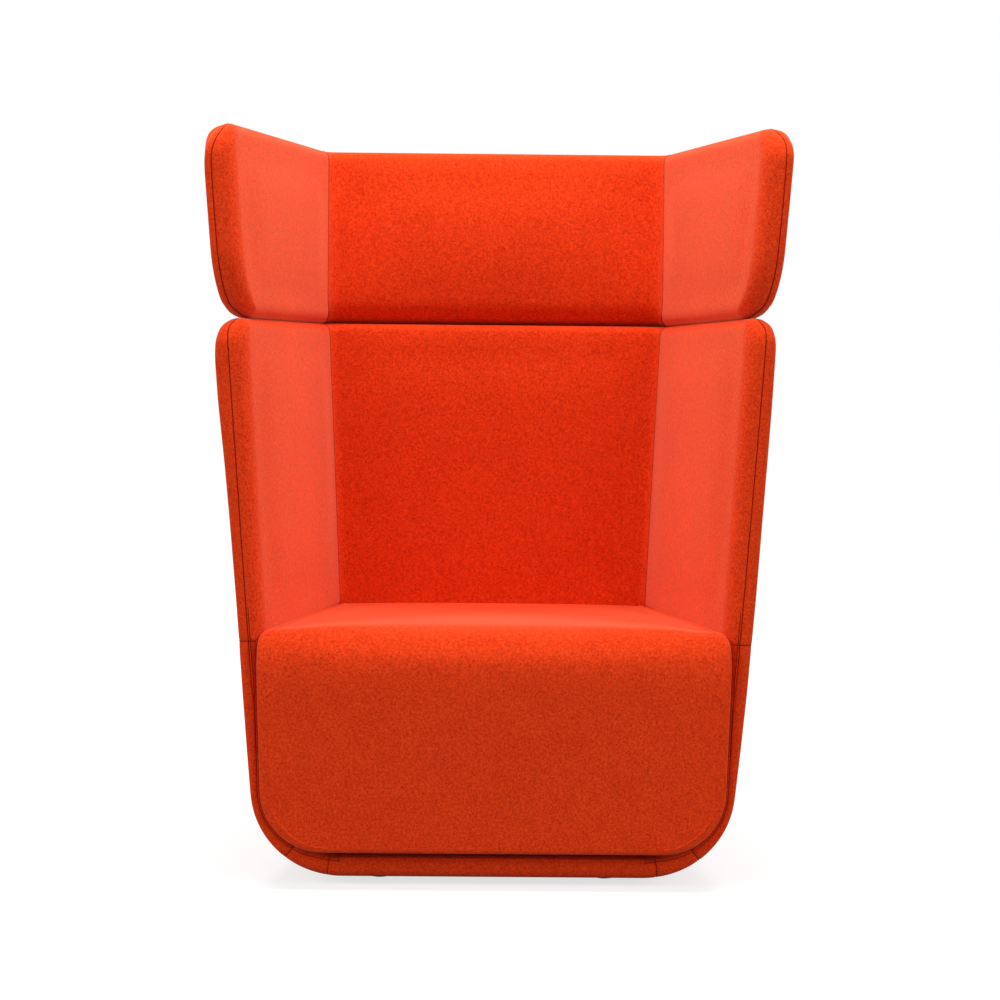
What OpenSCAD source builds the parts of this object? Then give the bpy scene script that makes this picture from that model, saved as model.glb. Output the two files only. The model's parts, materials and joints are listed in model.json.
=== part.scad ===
// Acoustic high back lounge chair: upholstered walls in two tiers round a box seat.
// The front faces -Y, +X is the right-hand side seen from the front, and +Z is up.
// The origin is on the floor, below the middle of the chair.

/* [Overall] */
// Half of the depth from the seat front to the back of the head tier
half_depth = 370; // [340:5:400]
// Height of the top of the head tier above the floor
total_h = 1255; // [1200:5:1300]
// Angle by which the back leans from upright, in degrees
recline = 4; // [2:0.5:6]
// Angle by which the side walls lean outward, in degrees
wall_lean = 4.4; // [3:0.1:6]
// Angle by which the side walls close in toward the back, in degrees
wall_splay = 9.9; // [8:0.1:12]

/* [Shell] */
// How far the shell's front edge sits behind the seat front
shell_setback = 30; // [20:1:40]
// Height of the head tier
head_h = 321; // [300:1:340]
// Height of the crease between the two tiers
split_gap = 0.6; // [0.5:0.1:3]
// Radius of the shell's lower corners
shell_corner_r = 150; // [140:1:170]
// How far the centres of the lower corners lie inside the seat's sides
corner_in = 137; // [125:1:150]
// Height of the underside above the floor
rim_z = 15; // [13:1:25]
// Thickness of the base tray
base_t = 35; // [32:1:40]
// Thickness of a side wall at its top
wall_top_t = 49; // [44:1:56]
// Thickness of a side wall just above the seat
wall_seat_t = 40; // [36:1:46]
// Thickness of the back, with its comfort foam
back_t = 92; // [80:1:100]
// Rounding of the wall edges
edge_r = 17; // [12:1:18]
// Radius of the lower tier's upper front corners, seen from the side
body_top_r = 45; // [35:1:60]
// Radius of the head tier's upper front corners, seen from the side
head_top_r = 60; // [45:1:80]
// Radius of the head tier's lower front corners, seen from the side
head_low_r = 115; // [90:1:125]
// Rounding of the outer rear corners
rear_r = 30; // [20:1:32]
// Crown of the padded inner faces
wall_crown = 3; // [1:0.5:5]
// Thickness of the felted wool covers
cover_t = 2.5; // [2:0.5:4]

/* [Seat] */
// Height of the seat top at its middle
seat_h = 408; // [390:1:430]
// Height of the seat block's underside
seat_low_z = 57; // [56:1:62]
// Half of the seat's width at the front, near its top
seat_half_w = 390; // [370:1:391]
// How much narrower half the seat is at its lower corners
seat_tuck = 6; // [5:1:10]
// Radius of the seat's lower corners
seat_corner_r = 104; // [90:1:110]
// Rounding of the seat's top front edge
waterfall_r = 52; // [40:1:70]
// Rounding of the seat's sewn side edges
seat_edge_r = 9; // [7:1:12]
// Crown of the seat top
seat_crown = 7; // [2:1:10]
// Clearance between the seat and the walls
seat_gap = 2; // [1:0.5:3]

/* [Frame] */
// Thickness of the formed plywood in the side walls
shell_ply_t = 8; // [7:0.5:9]
// Thickness of the plywood boards in the back and the head tier
board_t = 15; // [12:1:18]
// Thickness of the seat's boards and rails
rail_t = 18; // [15:1:22]
// Height of the seat's rails
rail_h = 90; // [70:1:110]
// Height of the zigzag springs
spring_z = 306; // [295:1:315]
// Number of zigzag springs
spring_n = 5; // [4:1:6]
// Width of a zigzag spring
spring_w = 50; // [40:1:54]
// Gauge of the spring wire
spring_wire = 3.8; // [3:0.1:4.5]
// Width of the steel head posts
post_w = 40; // [30:1:50]
// Thickness of the steel head posts
post_t = 6; // [5:0.5:8]
// Length of the head posts
post_len = 420; // [360:10:480]
// Distance of the head posts from the middle
post_x = 170; // [140:5:190]

/* [Levelling feet] */
// Diameter of a foot pad
pad_d = 40; // [34:1:44]
// Height of a foot pad
pad_h = 9; // [8:0.5:10]
// Thread diameter of the foot stems
stem_d = 10; // [8:1:10]
// Length of the foot stems above their collar
stem_len = 32; // [26:1:33]
// Distance of the feet from the sides of the base tray
foot_side = 47; // [40:1:60]
// Distance of the feet from the front and back edges of the base tray
foot_inset = 56; // [50:1:62]

/* [Hidden] */
$fn = 48;
cut_over = 1;
fit = 0.3;
stem_clear = 0.06;
side_fit = 0.8;
split_z = total_h - head_h;
shell_corner_x = seat_half_w - corner_in;
gap_half = split_gap / 2;
front_y = -half_depth;
shell_y = front_y + shell_setback;
body_top_z = split_z - gap_half;
head_low_z = split_z + gap_half;
splay = tan(wall_splay);
lean = tan(wall_lean);
corner_z = rim_z + shell_corner_r;
back_slope = tan(recline);
back_out_top = half_depth;
steps = 3;
wool = "orangered";
foam_colour = "khaki";
ply = "burlywood";
steel = "lightgrey";

// Outer face of the back at a height, and its inner face
function back_out_y(z) = back_out_top - (total_h - z) * back_slope;
function back_in_y(z) = back_out_y(z) - back_t;

// Outer half-width of the shell at its front edge, above the corner
lean_x = shell_corner_x + shell_corner_r * cos(wall_lean);
lean_z = corner_z - shell_corner_r * sin(wall_lean);
function outer_x(z) = lean_x + (z - lean_z) * lean;

// The seat's corner, and the half-width of the seat at a height
seat_low_half = seat_half_w - seat_tuck;
seat_cx = seat_low_half - seat_corner_r;
seat_cz = seat_low_z + seat_corner_r;
pocket_drop = 14;
pocket_z = seat_h - pocket_drop;
function mix(a, b, u) = a + (b - a) * u;

// Wall thickness along its path: thin beside the seat, padded above it
low_wall_t = lean_x - seat_low_half - seat_gap;
pocket_wall_t = outer_x(pocket_z) - seat_half_w - seat_gap;
pocket_rise = 16;
function wall_t(z) = z >= body_top_z ? wall_top_t : z <= pocket_z
    ? mix(low_wall_t, pocket_wall_t, (z - lean_z) / (pocket_z - lean_z))
    : z <= pocket_z + pocket_rise
        ? mix(pocket_wall_t, wall_seat_t, (z - pocket_z) / pocket_rise)
        : mix(wall_seat_t, wall_top_t, (z - pocket_z - pocket_rise) / (body_top_z - pocket_z - pocket_rise));
function arc_point(a) = [shell_corner_x + shell_corner_r * cos(a), corner_z + shell_corner_r * sin(a)];
function arc_t(a) = min(base_t, norm(arc_point(a) - [seat_cx, seat_cz]) - seat_corner_r - seat_gap);

// Half-width of the hollow between the side walls at a height, at the shell's front
arc_angles = [-wall_lean, -22, -38, -52, -66, -78, -90];
function arc_hollow(a) = let (r = shell_corner_r - arc_t(a))
    [corner_z + r * sin(a), shell_corner_x + r * cos(a)];
hollow_table = [for (a = [-90, -52, -22, -wall_lean]) arc_hollow(a)];
hollow_low_z = hollow_table[2][0];
hollow_top_z = hollow_table[3][0];
function inner_x(z) = z > hollow_top_z ? outer_x(z) - wall_t(z) : lookup(z, hollow_table);

// The wings flare more with height, so that their rear corners stay upright
corner_half = inner_x(split_z) - splay * (back_in_y(split_z) - shell_y);
function splay_at(z) = z <= split_z ? splay : (inner_x(z) - corner_half) / (back_in_y(z) - shell_y);

// A station of a wall: [x, z, normal x, normal z, thickness, front y, rear y, end inset, crown]
function straight_station(z, d, h, front, crown) =
    [outer_x(z), z, -1, 0, wall_t(z), front,
        back_out_y(z) - d, h, crown];
function arc_station(a, d) = let (p = arc_point(a))
    [p[0], p[1], -cos(a), -sin(a), arc_t(a), shell_y + d, back_out_y(p[1]) - d, d, 0];

// The front line of a wall where a corner of radius r rounds its end, e from that end
function corner_y(e, r, d) = e >= r ? shell_y + d
    : shell_y + r - sqrt(max(0, (r - d) * (r - d) - (r - e) * (r - e)));

// Insets at a rounded end: distance from the end, and inset of the thickness
function end_steps(r, d) = [for (i = [0 : steps]) let (a = 90 * i / steps)
    [d + (r - d) * (1 - cos(a)), r - (r - d) * sin(a)]];
function corner_steps(r) = [for (i = [1 : steps]) edge_r + (r - edge_r) * i * i / steps / steps];

// The section of a wall at a station, in thickness and depth
function wall_section(s, d) = let (
    t = s[4], h = s[7], f = s[5], b = s[6],
    rho = min(edge_r - d, (t - 2 * h) / 2 - fit),
    rear = min(rear_r - d, (t - 2 * h) - fit))
    concat(
        [for (i = [0 : steps]) let (a = 90 * i / steps)
            [h + rho - rho * cos(a), f + rho - rho * sin(a)]],
        [for (i = [0 : steps]) let (a = 90 * i / steps)
            [t - h - rho + rho * sin(a), f + rho - rho * cos(a)]],
        [[t - h + s[8], mix(f, b - back_t, 1 / 2)], [t - h, b - back_t - wall_crown - fit], [t - h, b]],
        [for (i = [0 : steps - 1]) let (a = 90 * i / (steps - 1))
            [h + rear - rear * sin(a), b - rear + rear * cos(a)]]);

// A point of a wall in space, closing in toward the back
function wall_point(s, q) = let (z = s[1] + s[3] * q[0])
    [s[0] + s[2] * q[0] - splay_at(z) * (q[1] - shell_y), q[1], z];
function wall_loop(s, d) = [for (q = wall_section(s, d)) wall_point(s, q)];

// Triangles between loops of n points each, with flat ends
function skin_faces(n, m) = concat(
    [for (i = [0 : m - 2]) for (j = [0 : n - 1]) [i * n + j, (i + 1) * n + (j + 1) % n, i * n + (j + 1) % n]],
    [for (i = [0 : m - 2]) for (j = [0 : n - 1]) [i * n + j, (i + 1) * n + j, (i + 1) * n + (j + 1) % n]],
    [[for (j = [0 : n - 1]) j]],
    [[for (j = [n - 1 : -1 : 0]) (m - 1) * n + j]]);
// The same with the other diagonals, as the inside of a cover has them
function lining_faces(n, m) = concat(
    [for (i = [0 : m - 2]) for (j = [0 : n - 1]) [i * n + j, (i + 1) * n + j, i * n + (j + 1) % n]],
    [for (i = [0 : m - 2]) for (j = [0 : n - 1])
        [(i + 1) * n + j, (i + 1) * n + (j + 1) % n, i * n + (j + 1) % n]],
    [[for (j = [0 : n - 1]) j]],
    [[for (j = [n - 1 : -1 : 0]) (m - 1) * n + j]]);
function reversed(v) = [for (i = [len(v) - 1 : -1 : 0]) v[i]];
module skin(loops) {
    polyhedron([for (l = loops) for (p = l) p], skin_faces(len(loops[0]), len(loops)), convexity = 8);
}
module lining(loops) {
    polyhedron([for (l = loops) for (p = l) p], lining_faces(len(loops[0]), len(loops)), convexity = 8);
}
// A cover: closed at its first loop, open at its last, with its inside running back
module sleeve(outside, inside) {
    skin(concat(outside, reversed(inside)));
}

// Stations of the lower tier's right wall, from its top to the end of the corner
function body_stations(d) = concat(
    [for (e = end_steps(edge_r, d))
        straight_station(body_top_z - e[0], d, e[1], corner_y(e[0], body_top_r, d), 0)],
    [for (e = corner_steps(body_top_r))
        straight_station(body_top_z - e, d, d, corner_y(e, body_top_r, d), wall_crown / 2)],
    [straight_station(mix(pocket_z, body_top_z, 1 / 2), d, d, shell_y + d, wall_crown),
        straight_station(pocket_z + pocket_rise, d, d, shell_y + d, 0),
        straight_station(pocket_z, d, d, shell_y + d, 0)],
    [for (a = arc_angles) arc_station(a, d)]);
function wall_loops(d) = [for (s = body_stations(d)) wall_loop(s, d)];

// Stations of a head wing, from its top to its underside
wing_shares = [1 / 3, 2 / 3];
function wing_stations(d) = concat(
    [for (e = end_steps(edge_r, d))
        straight_station(total_h - e[0], d, e[1], corner_y(e[0], head_top_r, d), 0)],
    [for (e = corner_steps(head_top_r))
        straight_station(total_h - e, d, d, corner_y(e, head_top_r, d), wall_crown)],
    [for (u = wing_shares) straight_station(mix(total_h - head_top_r, head_low_z + head_low_r, u), d, d,
        shell_y + d, wall_crown)],
    [for (i = [steps : -1 : 1]) let (e = corner_steps(head_low_r)[i - 1])
        straight_station(head_low_z + e, d, d, corner_y(e, head_low_r, d), wall_crown)],
    [for (i = [steps : -1 : 0]) let (e = end_steps(edge_r, d)[i])
        straight_station(head_low_z + e[0], d, e[1], corner_y(e[0], head_low_r, d), 0)]);
function wing_loops(d) = [for (s = wing_stations(d)) wall_loop(s, d)];

// A back panel between the side walls: width follows the walls, depth follows the recline
side_shares = [-1, -0.5, 0, 0.5, 1];
crown_shares = [0, 0.75, 1, 0.75, 0];
end_crown = wall_crown / 5;
function back_half(z, y, d) = min(inner_x(z - d), inner_x(z + d)) - splay_at(z) * (y - shell_y) - side_fit - d;
function panel_loop(z, d, fy, by, crown) = concat(
    [[-back_half(z, by, d), by, z]],
    [for (i = [0 : 4]) [side_shares[i] * back_half(z, fy, d), fy - crown * crown_shares[i], z]],
    [[back_half(z, by, d), by, z]]);
// Levels between the ends: height, and how it follows an inset
body_mids = [[hollow_low_z, 1], [hollow_top_z, 1], [pocket_z, -1], [pocket_z + pocket_rise, -1],
    [mix(pocket_z, body_top_z, 1 / 2), 0]];
head_mids = [[mix(head_low_z, total_h, 1 / 3), 0], [mix(head_low_z, total_h, 2 / 3), 0]];
function back_levels(low, high, d, mids) = concat(
    [for (e = end_steps(edge_r, d)) [low + e[0], e[1], end_crown]],
    [for (v = mids) [v[0] + v[1] * d, d, wall_crown]],
    [for (i = [steps : -1 : 0]) let (e = end_steps(edge_r, d)[i]) [high - e[0], e[1], end_crown]]);
function back_loops(low, high, d, mids) = [for (v = back_levels(low, high, d, mids))
    panel_loop(v[0], d, back_in_y(v[0]) + v[1], back_out_y(v[0]) - v[1], v[2])];

// The comfort foam lies in front of the board and the posts
function pad_back_y(z) = back_out_y(z) - board_depth - board_t - post_t - fit;
module back_pad(low, high, mids) {
    d = cover_t + fit;
    lining([for (v = back_levels(low, high, d, mids))
        panel_loop(v[0], d, back_in_y(v[0]) + v[1], pad_back_y(v[0]), v[2])]);
}

// The seat block: sections across its width, from the front face to the back
function seat_top_z(y) = let (e = y - front_y)
    e >= waterfall_r ? seat_h
        : seat_h - waterfall_r + sqrt(max(0, waterfall_r * waterfall_r - pow(waterfall_r - e, 2)));
function seat_shift(y) = splay * (max(y, shell_y) - shell_y);
seat_back_y = back_in_y(seat_h) - wall_crown - seat_gap;
top_shares = [1, 0.6, 0, -0.6, -1];
function seat_side(sx, y, d, h) = let (
    w = seat_shift(y),
    rc = seat_corner_r - d - h,
    rt = seat_edge_r - min(d + h, seat_edge_r - 1),
    zt = seat_top_z(y) - seat_crown - d - h)
    concat(
        [for (i = [0 : 4]) let (a = -90 + 22.5 * i)
            [sx * (seat_cx - w + rc * cos(a)), y, seat_cz + rc * sin(a)]],
        [for (i = [0 : 2]) let (a = 45 * i)
            [sx * (seat_half_w - w - d - h - rt + rt * cos(a)), y, zt - rt + rt * sin(a)]]);
function seat_loop(y, d, h) = concat(
    seat_side(1, y, d, h),
    [for (i = [1 : 3]) [top_shares[i] * (seat_half_w - seat_shift(y)), y,
        seat_top_z(y) - d - h - seat_crown * pow(top_shares[i], 2)]],
    [for (i = [7 : -1 : 0]) seat_side(-1, y, d, h)[i]]);
seat_mid_shares = [0.35, 0.7];
function seat_levels(d) = concat(
    [[front_y + d, seat_edge_r - d], [front_y + seat_edge_r / 3, seat_edge_r / 3 - d / 3],
        [front_y + seat_edge_r, 0]],
    [for (i = [1 : steps]) [front_y + seat_edge_r + (waterfall_r - seat_edge_r) * i * i / steps / steps, 0]],
    [for (u = seat_mid_shares) [mix(front_y, seat_back_y, u), 0]],
    [[seat_back_y - seat_edge_r, 0], [seat_back_y - d, seat_edge_r / 2]]);
// The back of the seat leans like the back panel
function lean_back(p) = let (u = (p[1] - front_y) / (seat_back_y - front_y))
    [p[0], p[1] - u * back_slope * (seat_h - p[2]), p[2]];
function seat_loops(d) = [for (v = seat_levels(d)) reversed([for (p = seat_loop(v[0], d, v[1])) lean_back(p)])];

// Local frame of the back: Y is depth from the outer face, Z runs up the reclined panel
module on_back(z) {
    translate([0, back_out_y(z), z])
        rotate([-recline, 0, 0])
            children();
}

// Formed plywood of a side wall, a thin layer under its outer cover
ply_in = cover_t + fit;
ply_setback = 8;
ply_margin = edge_r + ply_setback;
function ply_section(s) = let (f = s[5] + ply_margin, b = s[6] - rear_r - ply_in)
    [[ply_in, f], [ply_in + shell_ply_t, f], [ply_in + shell_ply_t, b], [ply_in, b]];
function ply_stations() = concat(
    [for (e = [edge_r + ply_in, body_top_r])
        straight_station(body_top_z - e, 0, 0, corner_y(e, body_top_r, 0), 0)],
    [straight_station(pocket_z + pocket_rise, 0, 0, shell_y, 0), straight_station(pocket_z, 0, 0, shell_y, 0)],
    [for (a = arc_angles) arc_station(a, 0)]);
module ply_form() {
    skin([for (s = ply_stations()) [for (q = ply_section(s)) wall_point(s, q)]]);
}

// Foam of a wall: it wraps the front edge and lies inside the board, whose inner face is at depth near
function foam_section(s, d, near) = let (
    full = wall_section(s, d),
    n = len(full),
    t0 = max(near, s[7] + 2 * fit),
    notch = s[5] + ply_margin - 2 * d - fit)
    concat([[t0, notch], [s[7], notch]], [for (i = [0 : n - steps]) full[i]],
        [[t0, lookup(t0, [for (i = [1 : steps]) full[n - i]])]]);
function foam_loops(stations, near) = [for (s = stations) [for (q = foam_section(s, cover_t + fit, near))
    wall_point(s, q)]];
wall_foam_near = ply_in + shell_ply_t + fit;
foam_end_z = 250;
function wall_foam_stations(d) = concat(
    [for (i = [0 : 2 * steps + 3]) body_stations(d)[i]],
    [straight_station(foam_end_z, d, d, shell_y + d, 0)]);
function core_section(s, near, far) = let (f = s[5] + ply_margin, b = s[6] - rear_r - ply_in)
    [[near, f], [far, f], [far, b], [near, b]];
function core_stations() = concat(
    [for (e = corner_steps(head_top_r)) straight_station(total_h - e, 0, 0, corner_y(e, head_top_r, 0), 0)],
    [for (u = wing_shares) straight_station(mix(total_h - head_top_r, head_low_z + head_low_r, u), 0, 0,
        shell_y, 0)],
    [for (e = reversed(corner_steps(head_low_r)))
        straight_station(head_low_z + e, 0, 0, corner_y(e, head_low_r, 0), 0)]);
module core_form(near, far) {
    skin([for (s = core_stations()) [for (q = core_section(s, near, far)) wall_point(s, q)]]);
}

// Right-hand pieces of the walls
module wall_cover() {
    sleeve(wall_loops(0), wall_loops(cover_t));
}
module wall_foam() {
    lining(foam_loops(wall_foam_stations(cover_t + fit), wall_foam_near));
}
module wing_cover() {
    sleeve(wing_loops(0), wing_loops(cover_t));
}
wing_ply_far = ply_in + shell_ply_t;
felt_t = 9;
module wing_foam() {
    lining(foam_loops(wing_stations(cover_t + fit), wing_ply_far + felt_t + fit));
}

module head_left_cover() { color(wool) mirror([1, 0, 0]) wing_cover(); }
module head_right_cover() { color(wool) wing_cover(); }
module head_left_foam() { color(foam_colour) mirror([1, 0, 0]) wing_foam(); }
module head_right_foam() { color(foam_colour) wing_foam(); }
module head_left_board() { color(ply) mirror([1, 0, 0]) core_form(ply_in, wing_ply_far); }
module head_right_board() { color(ply) core_form(ply_in, wing_ply_far); }
module head_left_felt() { color("dimgrey") mirror([1, 0, 0]) core_form(wing_ply_far, wing_ply_far + felt_t); }
module head_right_felt() { color("dimgrey") core_form(wing_ply_far, wing_ply_far + felt_t); }
module wall_left_cover() { color(wool) mirror([1, 0, 0]) wall_cover(); }
module wall_right_cover() { color(wool) wall_cover(); }
module wall_left_foam() { color(foam_colour) mirror([1, 0, 0]) wall_foam(); }
module wall_right_foam() { color(foam_colour) wall_foam(); }
module wall_left_shell() { color(ply) mirror([1, 0, 0]) ply_form(); }
module wall_right_shell() { color(ply) ply_form(); }

// Boards of the back and the head, flat plywood under the rear cover
board_depth = cover_t + fit;
board_side = 8;
function board_half(z) = back_half(z, back_out_y(z), 0) - board_side;
module back_board_plate(low, high, marks) {
    on_back(low)
        translate([0, -board_depth, 0])
            rotate([90, 0, 0])
                linear_extrude(board_t)
                    polygon(concat(
                        [for (v = marks) [v[1], (v[0] - low) / cos(recline)]],
                        [for (v = reversed(marks)) [-v[1], (v[0] - low) / cos(recline)]]));
}
back_low_z = rim_z + base_t + fit;
board_low_z = back_low_z + edge_r + ply_in;
board_high_z = body_top_z - edge_r - ply_in;
head_board_low = head_low_z + edge_r + ply_in;
head_board_high = total_h - edge_r - ply_in;

// The flat steel posts run up from the lower back into the head tier, in front of the boards
post_low_z = split_z - post_len / 2;
module post_at(x) {
    on_back(post_low_z)
        translate([x - post_w / 2, -board_depth - board_t - post_t, 0])
            cube([post_w, post_t, post_len]);
}
bolt_d = 6;
bolt_head_d = 14;
bolt_head_h = 3;
bolt_shares = [0.1, 0.3, 0.7, 0.9];
bolt_len = board_t + post_t;
module at_post_bolts() {
    for (x = [-post_x, post_x])
        for (u = bolt_shares)
            on_back(post_low_z)
                translate([x, -board_depth, u * post_len])
                    rotate([90, 0, 0])
                        children();
}
module post_bolts() {
    color(steel)
        at_post_bolts() {
            cylinder(h = bolt_len, d = bolt_d);
            cylinder(h = bolt_head_h, d = bolt_head_d);
        }
}
module bolt_holes() {
    at_post_bolts()
        union() {
            translate([0, 0, -cut_over])
                cylinder(h = bolt_len + 2 * cut_over, d = bolt_d + 2 * stem_clear);
            translate([0, 0, -cut_over])
                cylinder(h = bolt_head_h + cut_over, d = bolt_head_d + 2 * stem_clear);
        }
}
module bolted_board(low, high, marks) {
    color(ply)
        difference() {
            back_board_plate(low, high, marks);
            bolt_holes();
        }
}
pocket_half = board_half(pocket_z + pocket_rise);
back_marks = [[board_low_z, board_half(back_low_z + edge_r - ply_in)], [corner_z, pocket_half],
    [pocket_z + pocket_rise, pocket_half], [board_high_z, board_half(board_high_z)]];
head_marks = [[head_board_low, board_half(head_board_low)], [head_board_high, board_half(head_board_high)]];

module head_back_cover() {
    color(wool)
        sleeve([for (l = reversed(back_loops(head_low_z, total_h, 0, head_mids))) reversed(l)],
            [for (l = reversed(back_loops(head_low_z, total_h, cover_t, head_mids))) reversed(l)]);
}
module head_back_foam() { color(foam_colour) back_pad(head_low_z, total_h, head_mids); }
module head_back_board() { bolted_board(head_board_low, head_board_high, head_marks); }
module back_cover() {
    color(wool)
        sleeve(back_loops(back_low_z, body_top_z, 0, body_mids),
            back_loops(back_low_z, body_top_z, cover_t, body_mids));
}
module back_foam() { color(foam_colour) back_pad(back_low_z, body_top_z, body_mids); }
module back_board() { bolted_board(board_low_z, board_high_z, back_marks); }
module drilled_post(x) {
    color(steel)
        difference() {
            post_at(x);
            bolt_holes();
        }
}
module head_post_left() { drilled_post(-post_x); }
module head_post_right() { drilled_post(post_x); }

// The seat's wooden box, a tapering frame that carries the springs
frame_setback = 70;
frame_rear_in = 44;
frame_in = 34;
leg_in = 40;
frame_front_y = front_y + frame_setback;
frame_back_y = seat_back_y - frame_rear_in;
rail_low_z = spring_z - rail_h + spring_wire;
spring_rest_z = spring_z + spring_wire;
clip_t = 1.2;
function frame_half(y) = seat_half_w - seat_shift(y) - frame_in;
function leg_half(y) = seat_cx - seat_shift(y) - leg_in;
module frame_bar(y_near, y_far, half_near, half_far, low, high) {
    translate([0, 0, low])
        linear_extrude(high - low)
            polygon([[-half_near, y_near], [half_near, y_near], [half_far, y_far], [-half_far, y_far]]);
}
module side_rail() {
    near = frame_front_y + rail_t;
    far = frame_back_y - rail_t;
    translate([0, 0, rail_low_z])
        linear_extrude(rail_h)
            polygon([[frame_half(near) - rail_t, near], [frame_half(near), near],
                [frame_half(far), far], [frame_half(far) - rail_t, far]]);
}
module seat_board(y0, y1) {
    color(ply) {
        frame_bar(y0, y1, frame_half(y0), frame_half(y1), rail_low_z, spring_rest_z);
        frame_bar(y0, y1, leg_half(y0), leg_half(y1), base_rail_top, rail_low_z);
    }
}
module seat_front_board() { seat_board(frame_front_y, frame_front_y + rail_t); }
module seat_rear_board() { seat_board(frame_back_y - rail_t, frame_back_y); }
module seat_rail_right() { color(ply) side_rail(); }
module seat_rail_left() { color(ply) mirror([1, 0, 0]) side_rail(); }

// The space below the seat foam that the wooden box and the springs fill
hollow_top = spring_rest_z + spring_wire + clip_t + fit;
hollow_y0 = frame_front_y - fit;
hollow_y1 = frame_back_y + fit;
module leg_hole(low, high) {
    frame_bar(hollow_y0, hollow_y1, leg_half(hollow_y0) + fit, leg_half(hollow_y1) + fit, low, high);
}
module seat_cover() {
    color(wool)
        difference() {
            sleeve(seat_loops(0), seat_loops(cover_t));
            leg_hole(seat_low_z - cut_over, seat_low_z + cover_t + cut_over);
        }
}
module seat_foam() {
    color(foam_colour)
        difference() {
            lining(seat_loops(cover_t + fit));
            frame_bar(hollow_y0, hollow_y1, frame_half(hollow_y0) + fit, frame_half(hollow_y1) + fit,
                rail_low_z - fit, hollow_top);
            leg_hole(seat_low_z - cut_over, rail_low_z);
        }
}

// Zigzag springs lie on the front and rear boards, held by clips
spring_y0 = frame_front_y + rail_t / 2;
spring_y1 = frame_back_y - rail_t / 2;
spring_turns = 12;
spring_span = spring_y1 - spring_y0;
spring_spread_share = 0.86;
spring_pitch_x = 2 * (frame_half(frame_back_y) - spring_w) / (spring_n - 1) * spring_spread_share;
spring_steps = spring_turns * 6;
spring_du_share = 0.001;
function spring_mid(u) = [(spring_w - spring_wire) / 2 * sin(360 * spring_turns / 2 * u),
    spring_y0 + spring_span * u];
function spring_dir(u) = let (v = spring_mid(u + spring_du_share) - spring_mid(u - spring_du_share))
    v / norm(v);
function spring_edge(u, side) = let (v = spring_dir(u)) spring_mid(u) + side * spring_wire / 2 * [-v[1], v[0]];
module zigzag() {
    linear_extrude(spring_wire)
        polygon(concat(
            [for (i = [0 : spring_steps]) spring_edge(i / spring_steps, 1)],
            [for (i = [spring_steps : -1 : 0]) spring_edge(i / spring_steps, -1)]));
}
spring_xs = [for (i = [0 : spring_n - 1]) (i - (spring_n - 1) / 2) * spring_pitch_x];
module seat_springs() {
    color(steel)
        for (x = spring_xs)
            translate([x, 0, spring_rest_z])
                zigzag();
}
clip_w = 16;
module spring_clips() {
    color("black")
        for (x = spring_xs)
            for (y = [spring_y0, spring_y1])
                translate([x - clip_w / 2, y - rail_t / 2 + clip_t, spring_rest_z + spring_wire])
                    cube([clip_w, rail_t - 2 * clip_t, clip_t]);
}

// The base tray: a board between the wall corners, rails across it, an upholstered rim in front and behind
tray_rise = 3;
tray_low = rim_z + tray_rise;
tray_t = 18;
rim_depth = 34;
function tray_half(y) = shell_corner_x - splay * (y - shell_y) - fit;
tray_front_y = shell_y + rim_depth;
rim_back_y = back_out_y(rim_z);
tray_back_y = rim_back_y - rim_depth;
base_rail_h = base_t - tray_rise - tray_t;
base_rail_w = 80;
rail_side = 4;
angle_len = 30;
base_rail_top = tray_low + tray_t + base_rail_h;
module tray_plate(y0, y1, low, high, side) {
    translate([0, 0, low])
        linear_extrude(high - low)
            polygon([[-tray_half(y0) + side, y0], [tray_half(y0) - side, y0],
                [tray_half(y1) - side, y1], [-tray_half(y1) + side, y1]]);
}
insert_d = 15;
insert_h = tray_t + base_rail_h;
rear_rail_y = frame_back_y - rail_t - angle_len;
foot_front_y = tray_front_y + foot_inset;
foot_rear_y = tray_back_y - foot_inset;
foot_front_x = tray_half(foot_front_y) - foot_side;
foot_rear_x = tray_half(foot_rear_y) - foot_side;
foot_spots = [[-foot_front_x, foot_front_y], [foot_front_x, foot_front_y],
    [-foot_rear_x, foot_rear_y], [foot_rear_x, foot_rear_y]];
module at_feet() {
    for (p = foot_spots)
        translate([p[0], p[1], 0])
            children();
}
module foot_bores(d) {
    at_feet()
        cylinder(h = base_rail_top + stem_len, d = d);
}
module base_board() {
    color(ply)
        difference() {
            tray_plate(tray_front_y, tray_back_y, tray_low, tray_low + tray_t, 0);
            foot_bores(insert_d);
        }
}
module base_rail(y0, y1) {
    difference() {
        tray_plate(y0, y1, tray_low + tray_t, base_rail_top, rail_side);
        foot_bores(insert_d);
    }
}
module base_rail_front() { color(ply) base_rail(tray_front_y, tray_front_y + base_rail_w); }
module base_rail_rear() { color(ply) base_rail(rear_rail_y, tray_back_y); }
dust_t = 1.5;
module dust_cover() {
    color("black")
        difference() {
            tray_plate(tray_front_y, tray_back_y, tray_low - dust_t, tray_low, 0);
            foot_bores(insert_d + 2 * fit);
        }
}
rim_r = 10;
rim_len_y = rim_depth - fit;
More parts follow.
